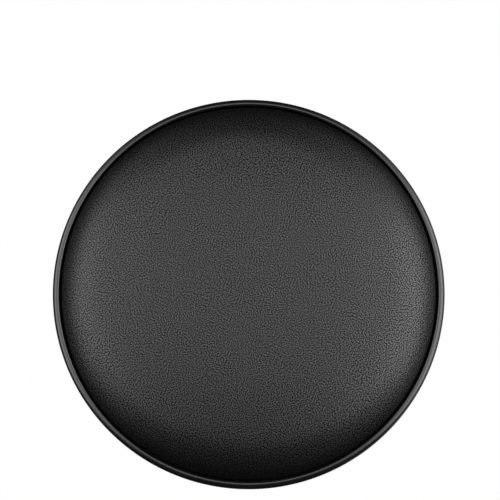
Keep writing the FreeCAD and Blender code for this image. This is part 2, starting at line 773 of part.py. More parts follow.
def pivot_nut():
    """A lock nut: a hexagon with a round collar that holds its nylon ring."""
    body = new_body("pivot_nut")
    bore = pin_thread_radius + S["thread_clearance"]
    collar_height = S["pivot_nut_collar"]
    sketch = new_sketch(body, "XY_Plane", pivot_nut_under + collar_height)
    draw_hexagon(sketch, S["pivot_nut_width"])
    draw_circle(sketch, bore)
    pad(body, sketch, S["pivot_nut_height"] - collar_height)
    collar = new_sketch(body, "XY_Plane", pivot_nut_under)
    draw_circle(collar, S["pivot_nut_width"] / 2)
    draw_circle(collar, bore)
    pad(body, collar, collar_height)
    return body


# Frame: a leg is one bent tube, bolted flat under the swivel and leaning out to the floor
def leg(name, angle):
    body = new_body(f"leg_{name}")
    line = new_sketch(body, "XZ_Plane")
    draw_path(line, [
        (tube_inner_end, leg_top_height),
        (bend_start, leg_top_height, S["leg_bend_radius"], "right"),
        (bend_corner + bend_tangent * sin(lean), leg_top_height - bend_tangent * cos(lean)),
        on_leg(tube_end, Size(0)),
    ], closed=False)
    section = new_sketch(body, "YZ_Plane", tube_inner_end)
    draw_circle(section, leg_radius, 0, leg_top_height)
    draw_circle(section, leg_radius - S["leg_wall"], 0, leg_top_height)
    tube = body.newObject("PartDesign::AdditivePipe", f"leg_{name}_tube")
    tube.Profile = section
    tube.Spine = line
    doc.recompute()
    holes = new_sketch(body, "XY_Plane", leg_top_height + S["leg_diameter"])
    for bolt in (inner_bolt, outer_bolt):
        draw_circle(holes, drilled_radius, bolt)
    pocket(body, holes, 2 * S["leg_diameter"])
    crossing = new_sketch(body, "XZ_Plane")
    near, far = S["leg_diameter"], -S["leg_diameter"]
    draw_path(crossing, [
        on_leg(ring_bolt_along, far),
        on_leg(ring_bolt_along + drilled_radius, far),
        on_leg(ring_bolt_along + drilled_radius, near),
        on_leg(ring_bolt_along, near),
    ])
    axis = turned_about(crossing, on_leg(ring_bolt_along, far), on_leg(ring_bolt_along, near))
    revolve(body, crossing, axis, "PartDesign::Groove")
    turn_to(body, angle)
    return body


# Frame: plastic saddles that seat the round legs on the flat plate
def leg_saddles():
    body = new_body("leg_saddles")
    half_width = S["saddle_width"] / 2
    cradle = leg_radius + S["tube_clearance"]
    edge_height = leg_top_height + leg_of(cradle, half_width)
    sketch = new_sketch(body, "YZ_Plane", inner_bolt - S["saddle_end"])
    draw_path(sketch, [
        (half_width, bottom_plate_under),
        (-half_width, bottom_plate_under),
        (-half_width, edge_height, cradle, "right"),
        (half_width, edge_height),
    ])
    block = pad(body, sketch, S["leg_bolt_spacing"] + 2 * S["saddle_end"])
    holes = new_sketch(body, "XY_Plane", bottom_plate_under)
    for bolt in (inner_bolt, outer_bolt):
        draw_circle(holes, drilled_radius, bolt)
    drilled = pocket(body, holes, S["leg_diameter"])
    polar(body, [block, drilled], LEG_COUNT)
    turn_to(body, FIRST_LEG_ANGLE)
    return body


# Frame: curved washers under the legs, hexagon bolts through them, and nuts welded on the lower pressing
leg_washer_under = place("leg_washer_under", leg_top_height - leg_radius - S["leg_washer_thickness"])


def leg_bolt_washers():
    body = new_body("leg_bolt_washers")
    half_width = S["leg_washer_width"] / 2
    cradle = leg_radius + S["tube_clearance"]
    edge_height = leg_top_height - leg_of(cradle, half_width)
    made = []
    for bolt in (inner_bolt, outer_bolt):
        sketch = new_sketch(body, "YZ_Plane", bolt - half_width)
        draw_path(sketch, [
            (-half_width, leg_washer_under),
            (half_width, leg_washer_under),
            (half_width, edge_height, cradle, "right"),
            (-half_width, edge_height),
        ])
        made.append(pad(body, sketch, S["leg_washer_width"]))
    holes = new_sketch(body, "XY_Plane", leg_top_height)
    for bolt in (inner_bolt, outer_bolt):
        draw_circle(holes, drilled_radius, bolt)
    made.append(pocket(body, holes, S["leg_diameter"]))
    polar(body, made, LEG_COUNT)
    turn_to(body, FIRST_LEG_ANGLE)
    return body


def leg_bolts():
    body = new_body("leg_bolts")
    made = []
    for bolt in (inner_bolt, outer_bolt):
        head = new_sketch(body, "XY_Plane", leg_washer_under)
        draw_hexagon(head, S["hex_head_width"], bolt)
        made.append(pad(body, head, S["hex_head_height"], downward=True))
        shank = new_sketch(body, "XY_Plane", leg_washer_under)
        draw_circle(shank, bolt_radius, bolt)
        made.append(pad(body, shank, bottom_plate_top + S["nut_height"] - leg_washer_under))
    polar(body, made, LEG_COUNT)
    turn_to(body, FIRST_LEG_ANGLE)
    return body


def weld_nuts():
    body = new_body("weld_nuts")
    sketch = new_sketch(body, "XY_Plane", bottom_plate_top)
    for bolt in (inner_bolt, outer_bolt):
        draw_hexagon(sketch, S["nut_width"], bolt)
        draw_circle(sketch, nut_bore_radius, bolt)
    polar(body, [pad(body, sketch, S["nut_height"])], LEG_COUNT)
    turn_to(body, FIRST_LEG_ANGLE)
    return body


# Frame: hollow plastic plugs in the legs' inner ends
def leg_plugs():
    body = new_body("leg_plugs")
    bore = leg_radius - S["leg_wall"] - S["tube_clearance"]
    lip_end = tube_inner_end - S["plug_lip"]
    round_lip = S["plug_lip"] / 2
    sketch = new_sketch(body, "XZ_Plane")
    draw_path(sketch, [
        (lip_end, leg_top_height),
        (lip_end, leg_top_height + leg_radius - round_lip, round_lip, "right"),
        (lip_end + round_lip, leg_top_height + leg_radius),
        (tube_inner_end, leg_top_height + leg_radius),
        (tube_inner_end, leg_top_height + bore),
        (tube_inner_end + S["plug_length"], leg_top_height + bore),
        (tube_inner_end + S["plug_length"], leg_top_height + bore - S["plug_wall"]),
        (tube_inner_end, leg_top_height + bore - S["plug_wall"]),
        (tube_inner_end, leg_top_height),
    ])
    axis = turned_about(sketch, (lip_end, leg_top_height), (tube_inner_end, leg_top_height))
    polar(body, [revolve(body, sketch, axis)], LEG_COUNT)
    turn_to(body, FIRST_LEG_ANGLE)
    return body


# Frame: foot ring, a tube bent to a circle, drilled where each leg is bolted on
def foot_ring():
    body = new_body("foot_ring")
    sketch = new_sketch(body, "XZ_Plane")
    draw_circle(sketch, S["ring_diameter"] / 2, ring_radius, S["ring_height"])
    draw_circle(sketch, S["ring_diameter"] / 2 - S["ring_wall"], ring_radius, S["ring_height"])
    revolve(body, sketch)
    crossing = new_sketch(body, "XZ_Plane")
    near, far = -leg_radius, -(ring_offset + S["ring_diameter"])
    draw_path(crossing, [
        on_leg(ring_bolt_along, far),
        on_leg(ring_bolt_along + drilled_radius, far),
        on_leg(ring_bolt_along + drilled_radius, near),
        on_leg(ring_bolt_along, near),
    ])
    axis = turned_about(crossing, on_leg(ring_bolt_along, far), on_leg(ring_bolt_along, near))
    polar(body, [revolve(body, crossing, axis, "PartDesign::Groove")], LEG_COUNT)
    turn_to(body, FIRST_LEG_ANGLE)
    return body


cap_nut_seat = place("cap_nut_seat", ring_offset + S["ring_diameter"] / 2 + S["cap_nut_gap"])


# Frame: a domed bolt through each leg and the ring, closed by a cap nut inside the ring
def ring_bolts():
    body = new_body("ring_bolts")
    head_radius, head_height = S["button_head"] / 2, S["button_head_height"]
    dome = dome_radius(head_radius, head_height)
    tip = -(cap_nut_seat + S["nut_height"])
    line = ring_bolt_along
    sketch = new_sketch(body, "XZ_Plane")
    draw_path(sketch, [
        on_leg(line, tip),
        on_leg(line + bolt_radius, tip),
        on_leg(line + bolt_radius, leg_radius),
        on_leg(line + head_radius, leg_radius),
        (*on_leg(line + head_radius, leg_radius + S["head_edge"]), dome, "right"),
        on_leg(line, leg_radius + head_height),
    ])
    axis = turned_about(sketch, on_leg(line, tip), on_leg(line, leg_radius))
    polar(body, [revolve(body, sketch, axis)], LEG_COUNT)
    turn_to(body, FIRST_LEG_ANGLE)
    return body


def square_to_leg(body, out):
    """A sketch plane square to a ring bolt, so far out from the leg's line."""
    sketch = body.newObject("Sketcher::SketchObject", body.Label + "_sketch")
    sketch.AttachmentSupport = [(origin_feature(body, "YZ_Plane"), "")]
    sketch.MapMode = "FlatFace"
    sketch.AttachmentOffset = FreeCAD.Placement(
        FreeCAD.Vector(), FreeCAD.Rotation(FreeCAD.Vector(-1, 0, 0), float(lean)))
    run, height = on_leg(ring_bolt_along, out)
    sketch.setExpression("AttachmentOffset.Rotation.Angle", str(lean))
    sketch.setExpression("AttachmentOffset.Base.y", str(height))
    sketch.setExpression("AttachmentOffset.Base.z", str(run))
    doc.recompute()
    return sketch


def ring_cap_nuts():
    body = new_body("ring_cap_nuts")
    seat = -cap_nut_seat
    hexagon = square_to_leg(body, seat)
    draw_hexagon(hexagon, S["nut_width"])
    draw_circle(hexagon, nut_bore_radius)
    nut = pad(body, hexagon, S["nut_height"], downward=True)
    hollow = bolt_radius
    closed_end = seat - S["nut_height"]
    line = ring_bolt_along
    dome_end = closed_end - hollow - S["cap_nut_wall"]
    sketch = new_sketch(body, "XZ_Plane")
    draw_path(sketch, [
        on_leg(line + nut_bore_radius, closed_end),
        on_leg(line + S["nut_width"] / 2, closed_end),
        on_leg(line + S["cap_nut_end"] / 2, dome_end),
        on_leg(line, dome_end),
        on_leg(line, closed_end - hollow),
        on_leg(line + nut_bore_radius, closed_end - hollow),
    ])
    axis = turned_about(sketch, on_leg(line, dome_end), on_leg(line, closed_end))
    dome = revolve(body, sketch, axis)
    polar(body, [nut, dome], LEG_COUNT)
    turn_to(body, FIRST_LEG_ANGLE)
    return body


# Feet: a flared rubber tip on each leg, cut level with the floor, with a steel disc under the tube's end
def foot(name, angle):
    body = new_body(f"foot_{name}")
    sole, bore = S["foot_sole"] / 2, leg_radius + S["tube_clearance"]
    wall = bore + S["foot_wall"]
    mouth = S["foot_height"]
    collar = mouth - S["foot_collar_height"]
    below = -(sole * tan(lean) + S["foot_sole_height"])
    flare = sole - wall
    sketch = new_sketch(body, "XZ_Plane")
    draw_path(sketch, [
        on_leg(below, Size(0)),
        on_leg(below, sole),
        (*on_leg(S["foot_sole_height"], sole), flare, "right"),
        on_leg(S["foot_sole_height"] + flare, wall),
        on_leg(collar, wall),
        on_leg(collar, wall + S["foot_collar"]),
        on_leg(mouth, wall + S["foot_collar"]),
        on_leg(mouth, bore),
        on_leg(S["foot_base"], bore),
        on_leg(S["foot_base"], Size(0)),
    ])
    axis = turned_about(sketch, on_leg(below, Size(0)), on_leg(mouth, Size(0)))
    revolve(body, sketch, axis)
    floor = new_sketch(body, "XY_Plane")
    draw_circle(floor, 2 * sole, foot_radius)
    pocket(body, floor, 3 * sole)
    turn_to(body, angle)
    return body


def foot_washers():
    body = new_body("foot_washers")
    disc = leg_radius
    sketch = new_sketch(body, "XZ_Plane")
    draw_path(sketch, [
        on_leg(S["foot_base"], Size(0)),
        on_leg(S["foot_base"], disc),
        on_leg(tube_end, disc),
        on_leg(tube_end, Size(0)),
    ])
    axis = turned_about(sketch, on_leg(S["foot_base"], Size(0)), on_leg(tube_end, Size(0)))
    polar(body, [revolve(body, sketch, axis)], LEG_COUNT)
    turn_to(body, FIRST_LEG_ANGLE)
    return body


sub_parts = [
    seat_cover(), foam_pad(), seat_board(), edge_band(), band_screws(), tee_nuts(), seat_bolts(),
    seat_bolt_washers(), swivel_top_plate(), pivot_bush(), bearing_balls(), ball_cage(),
    swivel_bottom_plate(), pivot_pin(), pivot_washer(), pivot_nut(), weld_nuts(), leg_saddles(),
    leg_bolts(), leg_bolt_washers(), leg_plugs(), foot_ring(), ring_bolts(), ring_cap_nuts(), foot_washers(),
]
for leg_name, leg_angle in LEG_ANGLES.items():
    sub_parts.append(leg(leg_name, leg_angle))
    sub_parts.append(foot(leg_name, leg_angle))
doc.recompute()

# Every object has to be sound before anything is written
for item in doc.Objects:
    if "Invalid" in item.State or "Error" in item.State:
        raise RuntimeError(f"{item.Name} did not compute: {item.State}")
for part in sub_parts:
    if part.Shape.isNull() or not part.Shape.isValid() or not part.Shape.Solids:
        raise RuntimeError(f"{part.Label} has no valid solid")

os.makedirs("parts", exist_ok=True)
for part in sub_parts:
    part.Shape.exportStep(f"parts/{part.Label}.step")
    print(f"{part.Label}: {len(part.Shape.Solids)} solid(s), {part.Shape.Volume / 1000:.1f} cm3")
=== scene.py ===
# Swivel workshop stool: the looks of every piece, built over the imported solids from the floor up.
# Lengths are in metres. +Z is up, the front of the stool faces -Y, and the origin is on the floor.
import math

import bmesh
import bpy
from mathutils import Matrix, Vector


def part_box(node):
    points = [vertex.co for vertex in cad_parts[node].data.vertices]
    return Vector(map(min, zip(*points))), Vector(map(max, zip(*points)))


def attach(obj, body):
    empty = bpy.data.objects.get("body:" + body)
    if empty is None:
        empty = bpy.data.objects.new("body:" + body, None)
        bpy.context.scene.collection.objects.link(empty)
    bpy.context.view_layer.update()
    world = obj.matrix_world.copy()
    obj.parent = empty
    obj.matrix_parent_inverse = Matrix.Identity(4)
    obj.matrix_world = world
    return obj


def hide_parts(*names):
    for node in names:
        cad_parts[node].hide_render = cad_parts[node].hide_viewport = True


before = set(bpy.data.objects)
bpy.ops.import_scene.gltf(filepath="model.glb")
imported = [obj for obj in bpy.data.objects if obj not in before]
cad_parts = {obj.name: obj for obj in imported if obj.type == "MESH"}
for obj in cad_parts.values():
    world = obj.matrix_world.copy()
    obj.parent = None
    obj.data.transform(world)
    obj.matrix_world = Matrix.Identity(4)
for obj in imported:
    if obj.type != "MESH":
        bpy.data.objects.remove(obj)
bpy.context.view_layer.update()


# Legs: four lengths of 22 mm steel tube, each bent once, polished and then chromed.
# The short level end bolts up under the swivel, and the long end leans out to its foot.
LEG_ANGLES = {"front_left": 225, "front_right": 315, "rear_right": 45, "rear_left": 135}
LEG_RADIUS = 0.011
LEG_WALL = 0.0015
LEG_LEAN = math.radians(7)
LEG_BEND_RADIUS = 0.045
LEG_INNER_END = 0.032
LEG_BEND_START = 0.104
LEG_END_ALONG = 0.0105
LEG_SIDES = 64
LEG_BEND_STEPS = 28
DOUBLES_WITHIN = 1e-6
WELD_WITHIN = 1e-5
leg_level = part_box("leg_rear_right")[1].z - LEG_RADIUS
bend_tangent = LEG_BEND_RADIUS * math.tan((math.pi / 2 - LEG_LEAN) / 2)
foot_reach = LEG_BEND_START + bend_tangent + leg_level * math.tan(LEG_LEAN)


def on_leg(along, out):
    """A point beside a leg that leans towards +X: so far up its line, and so far out from it."""
    return Vector((
        foot_reach - along * math.sin(LEG_LEAN) + out * math.cos(LEG_LEAN),
        0,
        along * math.cos(LEG_LEAN) + out * math.sin(LEG_LEAN),
    ))


def edit(piece_name=None):
    """Goes into edit mode on the active object with everything selected, and renames it if asked."""
    if piece_name:
        bpy.context.object.name = piece_name
    bpy.ops.object.mode_set(mode="EDIT")
    bpy.ops.mesh.select_mode(type="VERT")
    bpy.ops.mesh.select_all(action="SELECT")


def face_outwards():
    """Merges doubles, turns the faces outwards and leaves edit mode."""
    bpy.ops.mesh.select_all(action="SELECT")
    bpy.ops.mesh.remove_doubles(threshold=DOUBLES_WITHIN)
    bpy.ops.mesh.normals_make_consistent(inside=False)
    bpy.ops.object.mode_set(mode="OBJECT")
    return bpy.context.object


def pick(*pieces):
    """Selects these pieces alone and makes the first one active."""
    bpy.ops.object.select_all(action="DESELECT")
    for piece in pieces:
        piece.select_set(True)
    bpy.context.view_layer.objects.active = pieces[0]


def apply_modifier(piece, kind, **settings):
    """Applies a new modifier to the piece, and merges the points that it leaves on top of each other."""
    pick(piece)
    modifier = piece.modifiers.new(kind.lower(), kind)
    for name, value in settings.items():
        setattr(modifier, name, value)
    bpy.ops.object.modifier_apply(modifier=modifier.name)
    edit()
    bpy.ops.mesh.remove_doubles(threshold=WELD_WITHIN)
    bpy.ops.object.mode_set(mode="OBJECT")


def smooth(piece, degrees=35):
    """Shades the piece smooth except at edges sharper than the angle."""
    pick(piece)
    bpy.ops.object.shade_smooth_by_angle(angle=math.radians(degrees))


def copied(piece, name, matrix):
    """A copy with a mesh of its own, moved by the matrix."""
    twin = piece.copy()
    twin.data = piece.data.copy()
    twin.name = name
    twin.data.transform(matrix)
    bpy.context.collection.objects.link(twin)
    return twin


class Shade:
    """A shader socket: arithmetic on it adds Math nodes, and node() adds any other node."""

    def __init__(self, tree, socket=None):
        self.tree = tree
        self.socket = socket

    def node(self, kind, settings=None, inputs=None, output=0):
        made = self.tree.nodes.new(kind)
        for name, value in (settings or {}).items():
            setattr(made, name, value)
        for name, value in (inputs or {}).items():
            if isinstance(value, Shade):
                self.tree.links.new(value.socket, made.inputs[name])
            else:
                made.inputs[name].default_value = value
        return Shade(self.tree, made.outputs[output])

    def maths(self, operation, first, second):
        return self.node("ShaderNodeMath", {"operation": operation}, {0: first, 1: second})

    def __add__(self, other):
        return self.maths("ADD", self, other)

    def __radd__(self, other):
        return self.maths("ADD", other, self)

    def __sub__(self, other):
        return self.maths("SUBTRACT", self, other)

    def __rsub__(self, other):
        return self.maths("SUBTRACT", other, self)

    def __mul__(self, other):
        return self.maths("MULTIPLY", self, other)

    def __rmul__(self, other):
        return self.maths("MULTIPLY", other, self)

    def above(self, low, high):
        """0 below the low value and 1 above the high one, with a smooth step between."""
        return self.node(
            "ShaderNodeMapRange", {"interpolation_type": "SMOOTHSTEP"},
            {"Value": self, "From Min": low, "From Max": high})

    def axis(self, name):
        """One of a vector's values: X, Y or Z."""
        return self.node("ShaderNodeSeparateXYZ", {}, {"Vector": self}, output=name)

    def vector_maths(self, operation, other=None, output="Vector"):
        inputs = {0: self} if other is None else {0: self, 1: other}
        return self.node("ShaderNodeVectorMath", {"operation": operation}, inputs, output=output)

    def mix(self, dark, light):
        """A colour between two, by this factor."""
        return self.node("ShaderNodeMix", {"data_type": "RGBA"}, {0: self, 6: dark, 7: light}, output=2)

    def noise(self, scale, detail=2.0, roughness=0.5):
        return self.node(
            "ShaderNodeTexNoise", {},
            {"Vector": self, "Scale": scale, "Detail": detail, "Roughness": roughness})

    def bump(self, strength, distance):
        """A normal from this height, in metres times the distance."""
        return self.node("ShaderNodeBump", {}, {"Height": self, "Strength": strength, "Distance": distance})


def new_finish(name):
    """A new material, its object coordinates, and a function that sets its surface's sockets."""
    material = bpy.data.materials.new(name)
    material.use_nodes = True
    tree = material.node_tree
    surface = tree.nodes["Principled BSDF"]
    place = Shade(tree).node("ShaderNodeTexCoord", output="Object")

    def surface_is(**sockets):
        for socket, value in sockets.items():
            target = surface.inputs[socket.replace("_", " ")]
            if isinstance(value, Shade):
                tree.links.new(value.socket, target)
            else:
                target.default_value = value

    return material, place, surface_is


def chrome_finish():
    """Bright chrome over polished tube: nearly clean, with faint wipe marks and a little ripple."""
    material, place, surface_is = new_finish("bright_chrome")
    smears = place.noise(22, 4, 0.6).above(0.45, 0.75)
    specks = place.noise(700, 2).above(0.70, 0.78)
    ripple = place.noise(45, 1).bump(0.03, 0.002)
    surface_is(
        Base_Color=specks.mix((0.60, 0.61, 0.63, 1), (0.50, 0.50, 0.51, 1)),
        Metallic=1.0,
        Roughness=0.06 + 0.07 * smears + 0.06 * specks,
        Normal=ripple,
    )
    return material


def wear(piece, material):
    """Gives a piece one finish all over."""
    piece.data.materials.clear()
    piece.data.materials.append(material)


bright_chrome = chrome_finish()
bpy.ops.mesh.primitive_circle_add(
    vertices=LEG_SIDES, radius=LEG_RADIUS,
    location=(LEG_INNER_END, 0, leg_level), rotation=(0, math.pi / 2, 0))
bpy.ops.object.transform_apply(location=True, rotation=True, scale=True)
edit("leg_tube")
bpy.ops.mesh.extrude_region_move(TRANSFORM_OT_translate={"value": (LEG_BEND_START - LEG_INNER_END, 0, 0)})
bpy.ops.mesh.spin(
    steps=LEG_BEND_STEPS, angle=math.pi / 2 - LEG_LEAN,
    center=(LEG_BEND_START, 0, leg_level - LEG_BEND_RADIUS), axis=(0, -1, 0))
bend_end = Vector((
    LEG_BEND_START + bend_tangent * (1 + math.sin(LEG_LEAN)),
    0,
    leg_level - bend_tangent * math.cos(LEG_LEAN),
))
bpy.ops.mesh.extrude_region_move(TRANSFORM_OT_translate={"value": on_leg(LEG_END_ALONG, 0) - bend_end})
leg_tube = face_outwards()
apply_modifier(leg_tube, "SOLIDIFY", thickness=LEG_WALL, offset=-1)
smooth(leg_tube)
wear(leg_tube, bright_chrome)
for corner, degrees in LEG_ANGLES.items():
    leg = copied(leg_tube, f"leg_tube_{corner}", Matrix.Rotation(math.radians(degrees), 4, "Z"))
    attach(leg, "base")
    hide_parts(f"leg_{corner}")
bpy.data.objects.remove(leg_tube)


# Feet: black rubber ferrules pushed over the tubes' ends, moulded with grip ribs and a collar at the mouth.
# The flared base is cut level with the floor and has a hollow in its sole, so that it grips.
FOOT_BASE = 0.009
FOOT_HEIGHT = 0.036
FOOT_BORE = 0.0111
FOOT_WALL_RADIUS = 0.0133
FOOT_SOLE_RADIUS = 0.016
FOOT_SOLE_HEIGHT = 0.006
FOOT_COLLAR_RADIUS = 0.0143
FOOT_COLLAR_HEIGHT = 0.004
FOOT_SIDES = 64
SOLE_RIM = 0.0035
SOLE_HOLLOW = 0.0012
RIB_COUNT = 4
RIB_DEPTH = 0.0005
RIB_MARGIN = 0.002
GROOVE_START = 0.25
GROOVE_END = 0.45
RIB_START = 0.7
FLARE_STEPS = 8
EDGE_BREAK = 0.0006
SHARP_EDGE = math.radians(40)


def pen_at(name, x, z):
    """Starts a profile in the upright plane as one point, in edit mode."""
    bpy.ops.mesh.primitive_plane_add(size=0.001)
    edit(name)
    bpy.ops.mesh.merge(type="CENTER")
    bpy.ops.transform.translate(value=(x, 0, z))


def pen_place():
    """Where the selected end of the profile is."""
    points = bmesh.from_edit_mesh(bpy.context.edit_object.data).verts
    return next(point.co.copy() for point in points if point.select)


def line_to(x, z):
    tip = pen_place()
    bpy.ops.mesh.extrude_vertices_move(TRANSFORM_OT_translate={"value": (x - tip.x, 0, z - tip.z)})


def arc_round(x, z, degrees, steps):
    """Draws an arc about a centre, clockwise for positive angles as seen from the front."""
    bpy.ops.mesh.spin(
        steps=steps, angle=math.radians(abs(degrees)), center=(x, 0, z),
        axis=(0, -1 if degrees > 0 else 1, 0))


def turned(steps):
    """Spins the profile once round the upright axis into a closed shape."""
    bpy.ops.mesh.select_all(action="SELECT")
    bpy.ops.mesh.spin(steps=steps, angle=2 * math.pi, center=(0, 0, 0), axis=(0, 0, 1), use_auto_merge=True)
    return face_outwards()


def break_edges(piece, segments):
    """Rounds the sharp edges a little."""
    apply_modifier(
        piece, "BEVEL", width=EDGE_BREAK, segments=segments, limit_method="ANGLE", angle_limit=SHARP_EDGE)


def rubber_finish():
    """Matte black moulded rubber, greyed by dust and scuffed towards the floor."""
    material, place, surface_is = new_finish("foot_rubber_black")
    near_floor = 1 - place.axis("Z").above(0.002, 0.016)
    scuffs = place.noise(240, 4, 0.65).above(0.5, 0.72) * near_floor
    dust = place.noise(35, 3).above(0.4, 0.8)
    grain = place.noise(1800, 2)
    surface_is(
        Base_Color=(0.25 * dust + 0.75 * scuffs).mix((0.014, 0.014, 0.0145, 1), (0.075, 0.072, 0.068, 1)),
        Roughness=0.62 + 0.2 * dust + 0.1 * scuffs,
        Normal=grain.bump(0.35, 0.0004),
    )
    return material


sole_start = -(FOOT_SOLE_RADIUS * math.tan(LEG_LEAN) + FOOT_SOLE_HEIGHT)
flare = FOOT_SOLE_RADIUS - FOOT_WALL_RADIUS
ribs_start = FOOT_SOLE_HEIGHT + flare + RIB_MARGIN
ribs_end = FOOT_HEIGHT - FOOT_COLLAR_HEIGHT - RIB_MARGIN
rib_pitch = (ribs_end - ribs_start) / RIB_COUNT
pen_at("rubber_foot", 0, sole_start)
line_to(FOOT_SOLE_RADIUS, sole_start)
line_to(FOOT_SOLE_RADIUS, FOOT_SOLE_HEIGHT)
arc_round(FOOT_SOLE_RADIUS, FOOT_SOLE_HEIGHT + flare, 90, FLARE_STEPS)
for rib in range(RIB_COUNT):
    low = ribs_start + rib * rib_pitch
    line_to(FOOT_WALL_RADIUS, low)
    line_to(FOOT_WALL_RADIUS - RIB_DEPTH, low + GROOVE_START * rib_pitch)
    line_to(FOOT_WALL_RADIUS - RIB_DEPTH, low + GROOVE_END * rib_pitch)
    line_to(FOOT_WALL_RADIUS, low + RIB_START * rib_pitch)
line_to(FOOT_WALL_RADIUS, FOOT_HEIGHT - FOOT_COLLAR_HEIGHT)
line_to(FOOT_COLLAR_RADIUS, FOOT_HEIGHT - FOOT_COLLAR_HEIGHT)
line_to(FOOT_COLLAR_RADIUS, FOOT_HEIGHT)
line_to(FOOT_BORE, FOOT_HEIGHT)
line_to(FOOT_BORE, FOOT_BASE)
line_to(0, FOOT_BASE)
rubber_foot = turned(FOOT_SIDES)
break_edges(rubber_foot, segments=3)
rubber_foot.data.transform(Matrix.Translation((foot_reach, 0, 0)) @ Matrix.Rotation(-LEG_LEAN, 4, "Y"))
edit()
bpy.ops.mesh.bisect(plane_co=(0, 0, 0), plane_no=(0, 0, 1), clear_inner=True, use_fill=True)
bpy.ops.mesh.inset(thickness=SOLE_RIM)
bpy.ops.mesh.inset(thickness=SOLE_HOLLOW, depth=-SOLE_HOLLOW)
bpy.ops.object.mode_set(mode="OBJECT")
smooth(rubber_foot)
wear(rubber_foot, rubber_finish())
for corner, degrees in LEG_ANGLES.items():
    foot = copied(rubber_foot, f"rubber_foot_{corner}", Matrix.Rotation(math.radians(degrees), 4, "Z"))
    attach(foot, "base")
    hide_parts(f"foot_{corner}")
bpy.data.objects.remove(rubber_foot)


# Foot ring: 19 mm steel tube rolled to a circle, butt welded, ground flush and chromed like the legs.
# It lies against the inside of the legs, with one bolt through each.
RING_TUBE_RADIUS = 0.0095
RING_GAP = 0.00015
RING_SIDES = 48
RING_STEPS = 240
ring_low, ring_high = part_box("foot_ring")
ring_height = (ring_low.z + ring_high.z) / 2
ring_radius = ring_high.x - RING_TUBE_RADIUS
bpy.ops.mesh.primitive_circle_add(
    vertices=RING_SIDES, radius=RING_TUBE_RADIUS,
    location=(ring_radius, 0, ring_height), rotation=(math.pi / 2, 0, 0))
bpy.ops.object.transform_apply(location=True, rotation=True, scale=True)
edit("foot_ring_tube")
foot_ring_tube = turned(RING_STEPS)
smooth(foot_ring_tube)
wear(foot_ring_tube, bright_chrome)
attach(foot_ring_tube, "base")
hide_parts("foot_ring")


# Ring bolts and cap nuts: a chromed steel button-head bolt with a hexagon socket goes through leg and ring
# from outside. A chromed cap nut, pressed from steel with a domed end, closes it inside the ring.
BOLT_RADIUS = 0.003
BOLT_SIDES = 40
TIP_CHAMFER = 0.2
BUTTON_RADIUS = 0.0055
BUTTON_HEIGHT = 0.0033
BUTTON_EDGE = 0.0008
BUTTON_DOME_STEPS = 10
SOCKET_WIDTH = 0.004
SOCKET_DEPTH = 0.002
TOOL_OVERSHOOT = 0.001
CAP_NUT_WIDTH = 0.010
CAP_NUT_HEIGHT = 0.005
CAP_NUT_DOME = 0.0042
CAP_NUT_GAP = 0.0002
CAP_DOME_SHARE = 0.9
CAP_DOME_SINK = 0.0005
CAP_DOME_STEPS = 12
ring_offset = LEG_RADIUS + RING_GAP + RING_TUBE_RADIUS
ring_bolt_along = (ring_height + ring_offset * math.sin(LEG_LEAN)) / math.cos(LEG_LEAN)
square_to_leg = (
    Matrix.Translation(on_leg(ring_bolt_along, 0)) @ Matrix.Rotation(math.pi / 2 - LEG_LEAN, 4, "Y"))


def ring_of(piece, name, angles):
    """One object of copies of the piece, turned to each angle round the swivel's axis."""
    copies = [copied(piece, name, Matrix.Rotation(math.radians(angle), 4, "Z")) for angle in angles]
    bpy.data.objects.remove(piece)
    pick(*copies)
    bpy.ops.object.join()
    copies[0].name = name
    return copies[0]


def button_bolt(name, head_radius, head_height, radius, length):
    """A bolt that stands on its shank's end, with the underside of its domed head at z = 0."""
    dome_rise = head_height - BUTTON_EDGE
    dome_radius = (head_radius ** 2 + dome_rise ** 2) / (2 * dome_rise)
    dome_angle = math.degrees(math.asin(head_radius / dome_radius))
    pen_at(name, 0, head_height)
    arc_round(0, head_height - dome_radius, dome_angle, BUTTON_DOME_STEPS)
    line_to(head_radius, 0)
    line_to(radius, 0)
    line_to(radius, radius * TIP_CHAMFER - length)
    line_to(radius * (1 - TIP_CHAMFER), -length)
    line_to(0, -length)
    return turned(BOLT_SIDES)


def cut_away(piece, tool):
    """Takes the tool's shape out of the piece."""
    apply_modifier(piece, "BOOLEAN", operation="DIFFERENCE", object=tool, solver="EXACT")
    bpy.data.objects.remove(tool)


def hexagon_bar(width, low, high):
    """An upright bar, with its width across the flats."""
    bpy.ops.mesh.primitive_cylinder_add(
        vertices=6, radius=width / math.sqrt(3), depth=high - low, location=(0, 0, (low + high) / 2))
    bpy.ops.object.transform_apply(location=True, rotation=True, scale=True)
    return bpy.context.object


cap_nut_seat = ring_offset + RING_TUBE_RADIUS + CAP_NUT_GAP
ring_bolt = button_bolt(
    "ring_bolt", BUTTON_RADIUS, BUTTON_HEIGHT, BOLT_RADIUS, LEG_RADIUS + cap_nut_seat + CAP_NUT_HEIGHT)
cut_away(ring_bolt, hexagon_bar(SOCKET_WIDTH, BUTTON_HEIGHT - SOCKET_DEPTH, BUTTON_HEIGHT + TOOL_OVERSHOOT))
smooth(ring_bolt)
ring_bolt.data.transform(square_to_leg @ Matrix.Translation((0, 0, LEG_RADIUS)))
ring_bolts = ring_of(ring_bolt, "button_ring_bolts", LEG_ANGLES.values())
wear(ring_bolts, bright_chrome)
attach(ring_bolts, "base")
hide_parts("ring_bolts")

